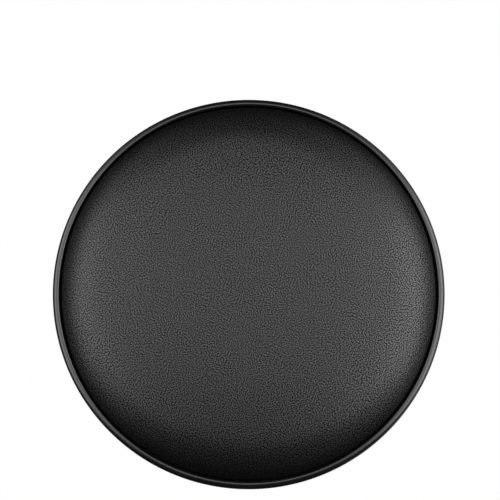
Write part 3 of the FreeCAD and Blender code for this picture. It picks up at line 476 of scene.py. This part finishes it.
cap_nut = hexagon_bar(CAP_NUT_WIDTH, -CAP_NUT_HEIGHT, 0)
cap_nut.name = "cap_nut"
break_edges(cap_nut, segments=2)
dome_span = CAP_DOME_SHARE * CAP_NUT_WIDTH / 2
dome_ball = (dome_span ** 2 + CAP_NUT_DOME ** 2) / (2 * CAP_NUT_DOME)
dome_turn = math.degrees(math.asin(min(dome_span / dome_ball, 1)))
pen_at("cap_nut_dome", 0, -CAP_NUT_HEIGHT - CAP_NUT_DOME)
arc_round(0, -CAP_NUT_HEIGHT - CAP_NUT_DOME + dome_ball, -dome_turn, CAP_DOME_STEPS)
line_to(dome_span, -CAP_NUT_HEIGHT + CAP_DOME_SINK)
line_to(0, -CAP_NUT_HEIGHT + CAP_DOME_SINK)
cap_dome = turned(BOLT_SIDES)
apply_modifier(cap_nut, "BOOLEAN", operation="UNION", object=cap_dome, solver="EXACT")
bpy.data.objects.remove(cap_dome)
smooth(cap_nut)
cap_nut.data.transform(square_to_leg @ Matrix.Translation((0, 0, -cap_nut_seat)))
cap_nuts = ring_of(cap_nut, "domed_cap_nuts", LEG_ANGLES.values())
wear(cap_nuts, bright_chrome)
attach(cap_nuts, "base")
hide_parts("ring_cap_nuts")


# Leg bolts: zinc-plated hexagon bolts that hold each leg up against its saddle, two to a leg.
# The heads are cold forged, with a chamfered rim and a shallow dish.
HEX_WIDTH = 0.010
HEX_HEIGHT = 0.004
HEX_CHAMFER = 0.0009
HEX_DISH = 0.0014
HEX_RISE = 0.0004
FACES_DOWN = -0.9
SHANK_SIDES = 32
SHANK_SINK = 0.001
INNER_BOLT_RADIUS = 0.060
OUTER_BOLT_RADIUS = 0.094
leg_bolts_low, leg_bolts_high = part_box("leg_bolts")


def zinc_finish():
    """Bright zinc plate: bluish grey, with a faint spangle and a satin sheen."""
    material, place, surface_is = new_finish("bright_zinc")
    spangle = place.node("ShaderNodeTexVoronoi", {}, {"Vector": place, "Scale": 420.0}, output="Distance")
    cloud = place.noise(160, 3)
    surface_is(
        Base_Color=cloud.mix((0.46, 0.47, 0.49, 1), (0.62, 0.63, 0.64, 1)),
        Metallic=1.0,
        Roughness=0.26 + 0.16 * cloud + 0.06 * spangle,
        Normal=cloud.bump(0.08, 0.0006),
    )
    return material


bright_zinc = zinc_finish()
hex_head = hexagon_bar(HEX_WIDTH, leg_bolts_low.z, leg_bolts_low.z + HEX_HEIGHT)
hex_head.name = "hex_bolt"
edit()
bpy.ops.mesh.select_all(action="DESELECT")
bpy.ops.object.mode_set(mode="OBJECT")
for face in hex_head.data.polygons:
    face.select = face.normal.z < FACES_DOWN
bpy.ops.object.mode_set(mode="EDIT")
bpy.ops.mesh.select_mode(type="FACE")
bpy.ops.mesh.inset(thickness=HEX_CHAMFER)
bpy.ops.transform.translate(value=(0, 0, -HEX_RISE))
bpy.ops.mesh.inset(thickness=HEX_DISH)
bpy.ops.transform.translate(value=(0, 0, HEX_RISE))
bpy.ops.object.mode_set(mode="OBJECT")
hex_head.data.transform(Matrix.Translation((0, 0, HEX_RISE)))
bpy.ops.mesh.primitive_cylinder_add(
    vertices=SHANK_SIDES, radius=BOLT_RADIUS,
    depth=leg_bolts_high.z - leg_bolts_low.z - HEX_HEIGHT + SHANK_SINK,
    location=(0, 0, (leg_bolts_high.z + leg_bolts_low.z + HEX_HEIGHT - SHANK_SINK) / 2))
bpy.ops.object.transform_apply(location=True, rotation=True, scale=True)
hex_shank = bpy.context.object
break_edges(hex_shank, segments=2)
pick(hex_head, hex_shank)
bpy.ops.object.join()
smooth(hex_head)
outer_hex = copied(hex_head, "hex_bolt_outer", Matrix.Translation((OUTER_BOLT_RADIUS, 0, 0)))
hex_head.data.transform(Matrix.Translation((INNER_BOLT_RADIUS, 0, 0)))
pick(hex_head, outer_hex)
bpy.ops.object.join()
leg_bolts = ring_of(hex_head, "hex_leg_bolts", LEG_ANGLES.values())
wear(leg_bolts, bright_zinc)
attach(leg_bolts, "base")
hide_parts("leg_bolts")


# Swivel and its hardware: two black electrocoated pressings that turn on greased steel balls in a nylon cage,
# held together by a pin in a bronze bush. Zinc-plated bolts, nuts and washers hold it to the seat board
# and to the legs, which sit in moulded plastic saddles and are closed by plugs.
DRESSED_WITHIN = 2e-6


def pressed_black_finish():
    """Thin black electrocoat on pressed steel, with slight drawing marks and rubbed spots."""
    material, place, surface_is = new_finish("black_electrocoat")
    marks = place.noise(90, 4, 0.6)
    rubbed = place.noise(500, 3).above(0.68, 0.76)
    surface_is(
        Base_Color=rubbed.mix((0.018, 0.018, 0.019, 1), (0.07, 0.07, 0.072, 1)),
        Roughness=0.34 + 0.16 * marks,
        Specular_IOR_Level=0.5,
        Normal=marks.bump(0.08, 0.001),
    )
    return material


def moulded_plastic_finish(name, dark, light):
    """Moulded plastic with a fine spark-eroded texture."""
    material, place, surface_is = new_finish(name)
    texture = place.noise(2600, 2)
    cloud = place.noise(70, 3)
    surface_is(
        Base_Color=cloud.mix(dark, light),
        Roughness=0.48 + 0.12 * texture,
        Normal=texture.bump(0.25, 0.0003),
    )
    return material


def polished_steel_finish():
    """Polished bearing steel under a film of amber grease."""
    material, place, surface_is = new_finish("greased_steel")
    film = place.noise(180, 3).above(0.4, 0.7)
    surface_is(
        Base_Color=film.mix((0.62, 0.62, 0.64, 1), (0.55, 0.47, 0.32, 1)),
        Metallic=1.0,
        Roughness=0.06 + 0.12 * film,
    )
    return material


def bronze_finish():
    """Sintered bronze, oil-filled, with its fine pores."""
    material, place, surface_is = new_finish("sintered_bronze")
    pores = place.noise(2400, 2).above(0.55, 0.68)
    surface_is(
        Base_Color=pores.mix((0.50, 0.33, 0.15, 1), (0.24, 0.15, 0.07, 1)),
        Metallic=1.0,
        Roughness=0.36 + 0.2 * pores,
        Normal=pores.bump(0.3, 0.0003),
    )
    return material


black_electrocoat = pressed_black_finish()
black_plastic = moulded_plastic_finish(
    "black_moulding", (0.016, 0.016, 0.0165, 1), (0.026, 0.026, 0.026, 1))
natural_nylon = moulded_plastic_finish(
    "natural_nylon", (0.56, 0.53, 0.44, 1), (0.64, 0.61, 0.53, 1))
greased_steel = polished_steel_finish()
sintered_bronze = bronze_finish()


def dressed(node, body, finish):
    """A smooth-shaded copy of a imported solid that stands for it."""
    piece = copied(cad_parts[node], f"{node}_dressed", Matrix.Identity(4))
    pick(piece)
    edit()
    bpy.ops.mesh.remove_doubles(threshold=DRESSED_WITHIN)
    bpy.ops.object.mode_set(mode="OBJECT")
    smooth(piece)
    wear(piece, finish)
    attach(piece, body)
    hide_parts(node)


for node, slot, finish in (
    ("swivel_bottom_plate", "swivel_steel", black_electrocoat),
    ("weld_nuts", "zinc_steel", bright_zinc),
    ("pivot_pin", "zinc_steel", bright_zinc),
    ("pivot_washer", "zinc_steel", bright_zinc),
    ("pivot_nut", "zinc_steel", bright_zinc),
    ("leg_bolt_washers", "zinc_steel", bright_zinc),
    ("foot_washers", "zinc_steel", bright_zinc),
    ("leg_saddles", "black_plastic", black_plastic),
    ("leg_plugs", "black_plastic", black_plastic),
):
    dressed(node, "base", finish)
dressed("bearing_balls", "bearing", greased_steel)
dressed("ball_cage", "bearing", natural_nylon)
for node, slot, finish in (
    ("swivel_top_plate", "swivel_steel", black_electrocoat),
    ("seat_bolts", "zinc_steel", bright_zinc),
    ("seat_bolt_washers", "zinc_steel", bright_zinc),
    ("tee_nuts", "zinc_steel", bright_zinc),
    ("pivot_bush", "bush_bronze", sintered_bronze),
):
    dressed(node, "seat", finish)


# Seat board: a disc of 12 mm birch plywood, routed and drilled, left raw underneath.
# It carries the foam, the cover and the steel band.
def plywood_finish():
    """Raw birch veneer: long pale grain, with darker streaks and a few pores."""
    material, place, surface_is = new_finish("raw_plywood")
    stretched = place.node("ShaderNodeMapping", {}, {"Vector": place, "Scale": (6.0, 90.0, 90.0)})
    grain = stretched.noise(2.2, 6, 0.62)
    streaks = stretched.noise(0.7, 3).above(0.45, 0.75)
    pores = stretched.noise(14, 2).above(0.62, 0.72)
    tone = grain * 0.6 + streaks * 0.4
    surface_is(
        Base_Color=tone.mix((0.56, 0.42, 0.26, 1), (0.36, 0.24, 0.13, 1)),
        Roughness=0.68 + 0.12 * grain,
        Normal=(grain - 0.5 * pores).bump(0.2, 0.0005),
    )
    return material


wear(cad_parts["seat_board"], plywood_finish())


# Foam: a moulded block of polyurethane foam, crowned and round at the shoulder, glued on the board.
# The tight cover rounds it off, so foam and cover share one dome, swollen by pressure from a slacker one.
SIDE_TOP = 0.70315
EDGE_ROLL = 0.005
SHOULDER_RADIUS = 0.075
SHOULDER_ANGLE = math.radians(42)
SLACK_CROWN_RADIUS = 10.0
SIDE_DRAW = 0.0008
SIDE_STEPS = 8
COVER_THICKNESS = 0.0012
SOFT_GAP = 0.0002
DOME_CELLS = 48
EDGE_CROWDING = 0.6
SWELL_PRESSURE = 1.5
SWELL_STIFFNESS = 60
SWELL_BENDING = 20
SWELL_DAMPING = 6
SWELL_QUALITY = 6
SWELL_FRAMES = 20
SWELL_LIMIT = 0.006
EVEN_OVER = 70
cover_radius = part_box("seat_cover")[1].x
board_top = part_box("seat_board")[1].z
board_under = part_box("seat_board")[0].z
roll_x = cover_radius - EDGE_ROLL
shoulder_x = roll_x - (SHOULDER_RADIUS - EDGE_ROLL) * math.sin(SHOULDER_ANGLE)
shoulder_z = SIDE_TOP - (SHOULDER_RADIUS - EDGE_ROLL) * math.cos(SHOULDER_ANGLE)
crown_angle = math.asin(shoulder_x / (SLACK_CROWN_RADIUS - SHOULDER_RADIUS))
crown_z = shoulder_z - (SLACK_CROWN_RADIUS - SHOULDER_RADIUS) * math.cos(crown_angle)
outline_arcs = (
    (0, crown_z, SLACK_CROWN_RADIUS, 0, crown_angle),
    (shoulder_x, shoulder_z, SHOULDER_RADIUS, crown_angle, SHOULDER_ANGLE),
    (roll_x, SIDE_TOP, EDGE_ROLL, SHOULDER_ANGLE, math.pi / 2),
)
outline_length = sum(radius * (last - first) for x, z, radius, first, last in outline_arcs)


def outline_at(length):
    """The point of the slack dome's outline that lies so far along it from the middle."""
    for x, z, radius, first, last in outline_arcs:
        slope = first + length / radius
        if slope <= last:
            break
        length -= radius * (last - first)
    slope = min(slope, last)
    return x + radius * math.sin(slope), z + radius * math.cos(slope)


def swell(piece):
    """Blows the dome up a little, held at its rim, evens it all round, and keeps points near their start."""
    slack = [point.co.copy() for point in piece.data.vertices]
    rim = piece.vertex_groups.new(name="rim")
    held = [number for number, point in enumerate(slack) if point.z < SIDE_TOP + WELD_WITHIN]
    rim.add(held, 1.0, "REPLACE")
    cloth = piece.modifiers.new("swell", "CLOTH")
    cloth.settings.quality = SWELL_QUALITY
    cloth.settings.use_pressure = True
    cloth.settings.uniform_pressure_force = SWELL_PRESSURE
    cloth.settings.tension_stiffness = SWELL_STIFFNESS
    cloth.settings.compression_stiffness = SWELL_STIFFNESS
    cloth.settings.bending_stiffness = SWELL_BENDING
    cloth.settings.air_damping = SWELL_DAMPING
    cloth.settings.vertex_group_mass = rim.name
    cloth.settings.effector_weights.gravity = 0
    cloth.point_cache.frame_end = SWELL_FRAMES
    for number in range(1, SWELL_FRAMES + 1):
        bpy.context.scene.frame_set(number)
    bpy.ops.object.modifier_apply(modifier=cloth.name)
    bpy.context.scene.frame_set(1)
    swollen = [
        (point.co.xy.length - start.xy.length, point.co.z - start.z)
        for point, start in zip(piece.data.vertices, slack)]
    order = sorted(range(len(slack)), key=lambda number: slack[number].xy.length)
    for place, number in enumerate(order):
        start = slack[number]
        outwards = Vector((start.x, start.y, 0)).normalized()
        near = [swollen[other] for other in order[max(place - EVEN_OVER, 0):place + EVEN_OVER + 1]]
        move = outwards * (sum(out for out, up in near) / len(near))
        move.z = sum(up for out, up in near) / len(near)
        piece.data.vertices[number].co = start + move * min(1, SWELL_LIMIT / max(move.length, 1e-9))
    piece.vertex_groups.clear()


def select_rim():
    """Goes into edit mode on the active object with its open edge selected."""
    edit()
    bpy.ops.mesh.region_to_loop()


def draw_down(radius, z):
    """Extrudes the selected ring of edges to a new radius and height."""
    tip = pen_place()
    bpy.ops.mesh.extrude_edges_move(TRANSFORM_OT_translate={"value": (0, 0, z - tip.z)})
    scale = radius / math.hypot(tip.x, tip.y)
    bpy.ops.transform.resize(value=(scale, scale, 1), center_override=(0, 0, 0))


def draw_side(inset):
    """Takes the rim down the side to the board, drawn in at half its height."""
    half_side = (SIDE_TOP - board_top) / 2
    for step in range(1, SIDE_STEPS + 1):
        lift = 1 - 2 * step / SIDE_STEPS
        draw_down(cover_radius - inset - SIDE_DRAW * (1 - lift ** 2), board_top + half_side * (1 + lift))


def foam_finish():
    """Dull cream foam with open cells."""
    material, place, surface_is = new_finish("seat_foam_cream")
    cells = place.node("ShaderNodeTexVoronoi", {}, {"Vector": place, "Scale": 900.0}, output="Distance")
    cloud = place.noise(18, 3)
    surface_is(
        Base_Color=cloud.mix((0.60, 0.54, 0.40, 1), (0.50, 0.44, 0.31, 1)),
        Roughness=0.9,
        Normal=cells.bump(0.6, 0.0008),
    )
    return material


bpy.ops.mesh.primitive_cube_add(size=2)
edit("cushion_dome")
bpy.ops.mesh.subdivide(number_cuts=DOME_CELLS - 1)
bpy.ops.mesh.select_all(action="SELECT")
bpy.ops.mesh.bisect(plane_co=(0, 0, 0), plane_no=(0, 0, 1), clear_inner=True)
cushion_dome = face_outwards()
for point in cushion_dome.data.vertices:
    spread = Vector(math.tan(math.pi / 4 * value) for value in point.co).normalized()
    share = math.acos(min(spread.z, 1)) / (math.pi / 2)
    run, height = outline_at(outline_length * share * (1 + EDGE_CROWDING * (1 - share)))
    bearing = math.atan2(spread.y, spread.x)
    point.co = (run * math.cos(bearing), run * math.sin(bearing), height)
swell(cushion_dome)

foam_inset = COVER_THICKNESS + SOFT_GAP
moulded_foam = copied(cushion_dome, "moulded_foam", Matrix.Identity(4))
apply_modifier(moulded_foam, "DISPLACE", strength=-foam_inset, mid_level=0)
select_rim()
draw_side(foam_inset)
bpy.ops.mesh.edge_face_add()
face_outwards()
smooth(moulded_foam)
wear(moulded_foam, foam_finish())
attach(moulded_foam, "seat")
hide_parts("foam_pad")


# Cover: black upholstery vinyl with a fine pebble grain, pulled tight over the foam.
# It goes down inside the steel band and is turned in under the board, where it is stapled.
COVER_HEM = 0.026
COVER_CORNER = 0.0025
CORNER_STEPS = 5


def vinyl_finish():
    """Black vinyl: low rounded pebbles about a millimetre apart, shiny on top, duller towards the edge, with
    painted shade darkening the valleys between the pebbles.
    """
    material, place, surface_is = new_finish("black_pebble_vinyl")
    aslant = place.node("ShaderNodeMapping", {}, {"Vector": place, "Rotation": (0, 0, 0.41)})
    spacing = place.node(
        "ShaderNodeTexVoronoi", {"voronoi_dimensions": "2D"},
        {"Vector": aslant, "Scale": 740, "Randomness": 0.75}, output="Distance")
    pebbles = 1 - spacing.above(0.17, 0.40)
    fine = place.noise(2600, 2)
    polish = place.noise(7, 3).above(0.35, 0.7)
    from_axis = place.vector_maths("MULTIPLY", (1, 1, 0)).vector_maths("LENGTH", output="Value")
    edge = from_axis.above(0.157, 0.171)
    surface_is(
        # Painted shade: the base colour is darker in the valleys between the pebbles and lighter on their
        # tops.
        Base_Color=pebbles.mix((0.001, 0.001, 0.0011, 1), (0.0022, 0.0022, 0.0023, 1)),
        Roughness=0.52 + 0.06 * polish - 0.12 * pebbles,
        Specular_IOR_Level=0.1,
        Coat_Weight=(0.02 + 0.98 * pebbles) * (1 - 0.55 * edge),
        Coat_Roughness=0.42,
        Coat_IOR=2.5,
        Normal=(pebbles + 0.1 * fine).bump(0.5, 0.0006),
    )
    return material


vinyl_cushion = cushion_dome
vinyl_cushion.name = "vinyl_cushion"
apply_modifier(vinyl_cushion, "SUBSURF", levels=1, render_levels=1)
hem_under = board_under - COVER_THICKNESS
select_rim()
draw_side(0)
for step in range(CORNER_STEPS + 1):
    bend = math.pi / 2 * step / CORNER_STEPS
    draw_down(
        cover_radius - COVER_CORNER * (1 - math.cos(bend)),
        hem_under + COVER_CORNER * (1 - math.sin(bend)))
draw_down(cover_radius - COVER_HEM, hem_under)
face_outwards()
apply_modifier(vinyl_cushion, "SOLIDIFY", thickness=COVER_THICKNESS, offset=-1)
smooth(vinyl_cushion, degrees=60)
wear(vinyl_cushion, vinyl_finish())
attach(vinyl_cushion, "seat")
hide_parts("seat_cover")


# Hem staples: fine zinc-plated wire staples, driven from below through the turned-in vinyl into the board.
# One row runs all round, and only their crowns show.
STAPLE_COUNT = 44
STAPLE_LENGTH = 0.0095
STAPLE_WIDTH = 0.0012
STAPLE_WIRE = 0.0007
STAPLE_ROUND = 0.0003
STAPLE_PROUD = 0.3
STAPLE_INSET = 0.0035
staple_radius = cover_radius - COVER_HEM + STAPLE_INSET
bpy.ops.mesh.primitive_cube_add(size=1, location=(staple_radius, 0, hem_under - STAPLE_PROUD * STAPLE_WIRE))
bpy.context.object.scale = (STAPLE_WIDTH, STAPLE_LENGTH, STAPLE_WIRE)
bpy.ops.object.transform_apply(location=True, rotation=True, scale=True)
staple = bpy.context.object
apply_modifier(staple, "BEVEL", width=STAPLE_ROUND, segments=2)
smooth(staple)
staples = ring_of(
    staple, "hem_staples", [360 / STAPLE_COUNT * (number + 0.5) for number in range(STAPLE_COUNT)])
wear(staples, bright_zinc)
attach(staples, "seat")


# Steel band: a strip of 1.2 mm sheet rolled into a tray, its top edge curled inwards to a round bead
# and its lower edge turned in as a flange under the board. Powder coated black, smooth and satin.
BAND_SHEET = 0.0012
BAND_FLANGE = 0.026
BAND_CORNER = 0.0035
BAND_CORNER_STEPS = 8
BEAD_OUTER_CURL = 0.0046
BEAD_OUTER_STEPS = 16
BEAD_INNER_CURL = 0.0021
BEAD_INNER_TURN = 210
BEAD_INNER_STEPS = 24
BAND_SIDES = 320
band_low, band_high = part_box("edge_band")
band_radius = round(band_high.x, 4)


def powder_coat_finish():
    """Smooth satin black powder coat with the slightest orange peel."""
    material, place, surface_is = new_finish("black_powder_coat")
    peel = place.noise(420, 2)
    cloud = place.noise(25, 3)
    dull = 1 - place.axis("Z").above(band_low.z + 0.002, band_low.z + 0.006)
    surface_is(
        Base_Color=(0.006, 0.006, 0.0062, 1),
        Roughness=0.20 + 0.06 * cloud + 0.45 * dull,
        Specular_IOR_Level=0.9,
        Normal=peel.bump(0.06, 0.0008),
    )
    return material


bead_crest = band_radius - BEAD_OUTER_CURL
pen_at("beaded_band", band_radius - BAND_FLANGE, band_low.z)
line_to(band_radius - BAND_CORNER, band_low.z)
arc_round(band_radius - BAND_CORNER, band_low.z + BAND_CORNER, -90, BAND_CORNER_STEPS)
line_to(band_radius, band_high.z - BEAD_OUTER_CURL)
arc_round(bead_crest, band_high.z - BEAD_OUTER_CURL, -90, BEAD_OUTER_STEPS)
arc_round(bead_crest, band_high.z - BEAD_INNER_CURL, -BEAD_INNER_TURN, BEAD_INNER_STEPS)
beaded_band = turned(BAND_SIDES)
apply_modifier(beaded_band, "SOLIDIFY", thickness=BAND_SHEET, offset=-1)
smooth(beaded_band)
wear(beaded_band, powder_coat_finish())
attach(beaded_band, "seat")
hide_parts("edge_band")


# Band screws: black zinc-plated pan-head screws with a cross recess.
# They go up through the flange and the vinyl into the board and so hold the band.
SCREW_COUNT = 6
SCREW_RADIUS = 0.002
SCREW_HEAD_RADIUS = 0.004
SCREW_HEAD_HEIGHT = 0.0024
SCREW_LENGTH = 0.011
SCREW_INSET = 0.020
RECESS_SIZE = (0.0036, 0.0008, 0.0024)


def black_zinc_finish():
    """Black zinc plate, thin and slightly brown where it is rubbed."""
    material, place, surface_is = new_finish("black_zinc_plate")
    rubbed = place.noise(700, 3).above(0.55, 0.75)
    surface_is(
        Base_Color=rubbed.mix((0.022, 0.021, 0.021, 1), (0.10, 0.095, 0.09, 1)),
        Metallic=0.6,
        Roughness=0.34 + 0.14 * rubbed,
    )
    return material


band_screw = button_bolt("band_screw", SCREW_HEAD_RADIUS, SCREW_HEAD_HEIGHT, SCREW_RADIUS, SCREW_LENGTH)
for turn in (0, 90):
    bpy.ops.mesh.primitive_cube_add(size=1, location=(0, 0, SCREW_HEAD_HEIGHT))
    recess = bpy.context.object
    recess.scale = RECESS_SIZE
    recess.rotation_euler.z = math.radians(turn)
    bpy.ops.object.transform_apply(location=True, rotation=True, scale=True)
    cut_away(band_screw, recess)
smooth(band_screw)
band_screw.data.transform(
    Matrix.Translation((band_radius - SCREW_INSET, 0, band_low.z)) @ Matrix.Rotation(math.pi, 4, "X"))
band_screws = ring_of(
    band_screw, "cross_head_band_screws", [360 / SCREW_COUNT * number for number in range(SCREW_COUNT)])
wear(band_screws, black_zinc_finish())
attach(band_screws, "seat")
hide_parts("band_screws")


# Studio: a plain pale floor, a broad soft light overhead and a softbox at each side.
# The background is white to the camera, and the front and back of the studio are dark.
FLOOR_SIZE = 6
FLOOR_DROP = 0.0005
SHADOW_CENTRE = (0, 0.086, 0)


def floor_finish():
    """Pale floor that shows white, keeps the stool's shadow under it with a painted contact shadow added
    round the feet, and is clear from below.
    """
    material, place, surface_is = new_finish("pale_floor")
    surface_is(Base_Color=(0.86, 0.86, 0.86, 1), Roughness=0.9, Specular_IOR_Level=0.1)
    tree = material.node_tree
    rays = tree.nodes.new("ShaderNodeLightPath")
    camera_ray, glossy_ray = (Shade(tree, rays.outputs[f"Is {kind} Ray"]) for kind in ("Camera", "Glossy"))
    beside = place.vector_maths("NORMALIZE").axis("X").above(0.3, 0.85)
    distance = place.vector_maths("LENGTH", output="Value")
    near = 1 - distance.above(0.5, 1.2)
    from_shadow = place.vector_maths("DISTANCE", SHADOW_CENTRE, output="Value")
    shadow = 1 - from_shadow.above(0.1, 0.3)
    under_seat = 1 - from_shadow.above(0.285, 0.315)
    # Painted shadow: ambient occlusion darkens the white that the camera sees on the floor near the feet,
    # under the seat.
    painted_contact_shadow = 1 - place.node("ShaderNodeAmbientOcclusion", {"samples": 8}, {"Distance": 0.06}, output="AO")
    surface = tree.nodes["Principled BSDF"].outputs["BSDF"]
    white = tree.nodes.new("ShaderNodeEmission")
    reflected = 0.015 + distance.above(0.75, 1.6) * (0.05 + 0.6 * beside)
    seen = 1 - 0.7 * painted_contact_shadow * under_seat
    tree.links.new((camera_ray * seen + glossy_ray * reflected).socket, white.inputs["Strength"])
    clear = tree.nodes.new("ShaderNodeBsdfTransparent")
    below = place.node("ShaderNodeNewGeometry", output="Backfacing")
    for factor, second in (
        (camera_ray * (1 - 0.01 * near - 0.32 * shadow) + glossy_ray, white.outputs["Emission"]),
        (below, clear.outputs["BSDF"]),
    ):
        both = tree.nodes.new("ShaderNodeMixShader")
        tree.links.new(factor.socket, both.inputs["Fac"])
        tree.links.new(surface, both.inputs[1])
        tree.links.new(second, both.inputs[2])
        surface = both.outputs["Shader"]
    tree.links.new(surface, tree.nodes["Material Output"].inputs["Surface"])
    return material


bpy.ops.mesh.primitive_plane_add(size=FLOOR_SIZE, location=(0, 0, -FLOOR_DROP))
floor = bpy.context.object
floor.name = "studio_floor"
wear(floor, floor_finish())


def softbox(name, watts, size, place, target):
    """An area light of the given width and length, turned to face the target."""
    bpy.ops.object.light_add(type="AREA", location=place)
    lamp = bpy.context.object
    lamp.name = name
    lamp.data.shape = "RECTANGLE"
    lamp.data.size, lamp.data.size_y = size
    lamp.data.energy = watts
    lamp.visible_camera = False
    lamp.rotation_euler = (Vector(target) - Vector(place)).to_track_quat("-Z", "Y").to_euler()
    return lamp


seat_centre = Vector((0, 0, band_high.z - BEAD_OUTER_CURL))
softbox("overhead_light", 7.8, (1.3, 1.5), (0, 0.42, 2.7), seat_centre)
softbox("left_softbox", 14, (1.7, 1.5), (-1.2, 0.1, 1.95), seat_centre)
softbox("right_softbox", 19, (1.7, 1.5), (1.2, 0.0, 1.95), seat_centre)

# White floor and walls for the bright metal to mirror: area lights that leave out the cover and the band.
seat_top = bpy.data.collections.new("seat_top")
for piece in (vinyl_cushion, beaded_band):
    seat_top.objects.link(piece)
for member in seat_top.collection_objects:
    member.light_linking.link_state = "EXCLUDE"
for name, brightness, size, place, target in (
    ("middle_floor", 0.42, (0.9, 0.9), (0, 0, 0), (0, 0, 1)),
    ("left_floor", 0.75, (1.5, 1.2), (-1.2, 0, 0), (-1.2, 0, 1)),
    ("right_floor", 0.75, (1.5, 1.2), (1.2, 0, 0), (1.2, 0, 1)),
    ("front_floor", 0.75, (1.2, 1.5), (0, -1.2, 0), (0, -1.2, 1)),
    ("back_floor", 0.75, (1.2, 1.5), (0, 1.2, 0), (0, 1.2, 1)),
    ("front_wall", 0.75, (2.2, 1.6), (0, -2.2, 0.8), (0, 0, 0.8)),
    ("back_wall", 0.75, (2.2, 1.6), (0, 2.2, 0.8), (0, 0, 0.8)),
    ("left_wall", 0.6, (2.2, 1.2), (-2.2, 0, 0.6), (0, 0, 0.6)),
    ("right_wall", 0.6, (2.2, 1.2), (2.2, 0, 0.6), (0, 0, 0.6)),
):
    bounce = softbox(name, brightness * math.pi * size[0] * size[1], size, place, target)
    bounce.visible_diffuse = False
    bounce.light_linking.receiver_collection = seat_top

world = bpy.data.worlds.new("studio")
world.use_nodes = True
bpy.context.scene.world = world
sky = Shade(world.node_tree)
rays = world.node_tree.nodes.new("ShaderNodeLightPath")
camera_ray = Shade(world.node_tree, rays.outputs["Is Camera Ray"])
around = sky.node("ShaderNodeTexCoord", output="Generated")
rightwards = around.axis("X")
sideways = sky.node("ShaderNodeMath", {"operation": "ABSOLUTE"}, {0: rightwards})
to_sides = (sideways + 0.3 * around.axis("Y")).above(0.45, 1.0)
over_floor = (around.axis("Z") + 0.2 * rightwards.above(0.7, 0.98)).above(0.06, 0.4)
studio = to_sides * over_floor * (1.15 + 0.15 * rightwards) + 0.008
level = camera_ray * (1 - studio) + studio
background = world.node_tree.nodes["Background"]
background.inputs["Color"].default_value = (1, 1, 1, 1)
world.node_tree.links.new(level.socket, background.inputs["Strength"])
bpy.context.scene.view_settings.view_transform = "Standard"


# Camera: high above the seat and a little to the front, as the photograph was taken.
# It is aimed and zoomed so that the seat has its place and width in the frame.
PHOTO_SIZE = 500
SEAT_CENTRE_PIXEL = (248.32, 288.8)
SEAT_HALF_WIDTH_PIXELS = 195.66
CAMERA_DISTANCE = 0.95
CAMERA_ELEVATION = math.radians(83)
SENSOR_WIDTH = 36
metres_per_pixel = band_radius / SEAT_HALF_WIDTH_PIXELS
camera_towards = Vector((0, -math.cos(CAMERA_ELEVATION), math.sin(CAMERA_ELEVATION)))
camera_place = seat_centre + CAMERA_DISTANCE * camera_towards
image_up = Vector((0, math.sin(CAMERA_ELEVATION), math.cos(CAMERA_ELEVATION)))
aim = seat_centre + metres_per_pixel * (
    (PHOTO_SIZE / 2 - SEAT_CENTRE_PIXEL[0]) * Vector((1, 0, 0))
    + (SEAT_CENTRE_PIXEL[1] - PHOTO_SIZE / 2) * image_up)
bpy.ops.object.camera_add(location=camera_place)
camera = bpy.context.object
camera.rotation_euler = (aim - camera_place).to_track_quat("-Z", "Y").to_euler()
camera.data.sensor_width = SENSOR_WIDTH
camera.data.lens = SENSOR_WIDTH * CAMERA_DISTANCE / (PHOTO_SIZE * metres_per_pixel)
bpy.context.scene.camera = camera
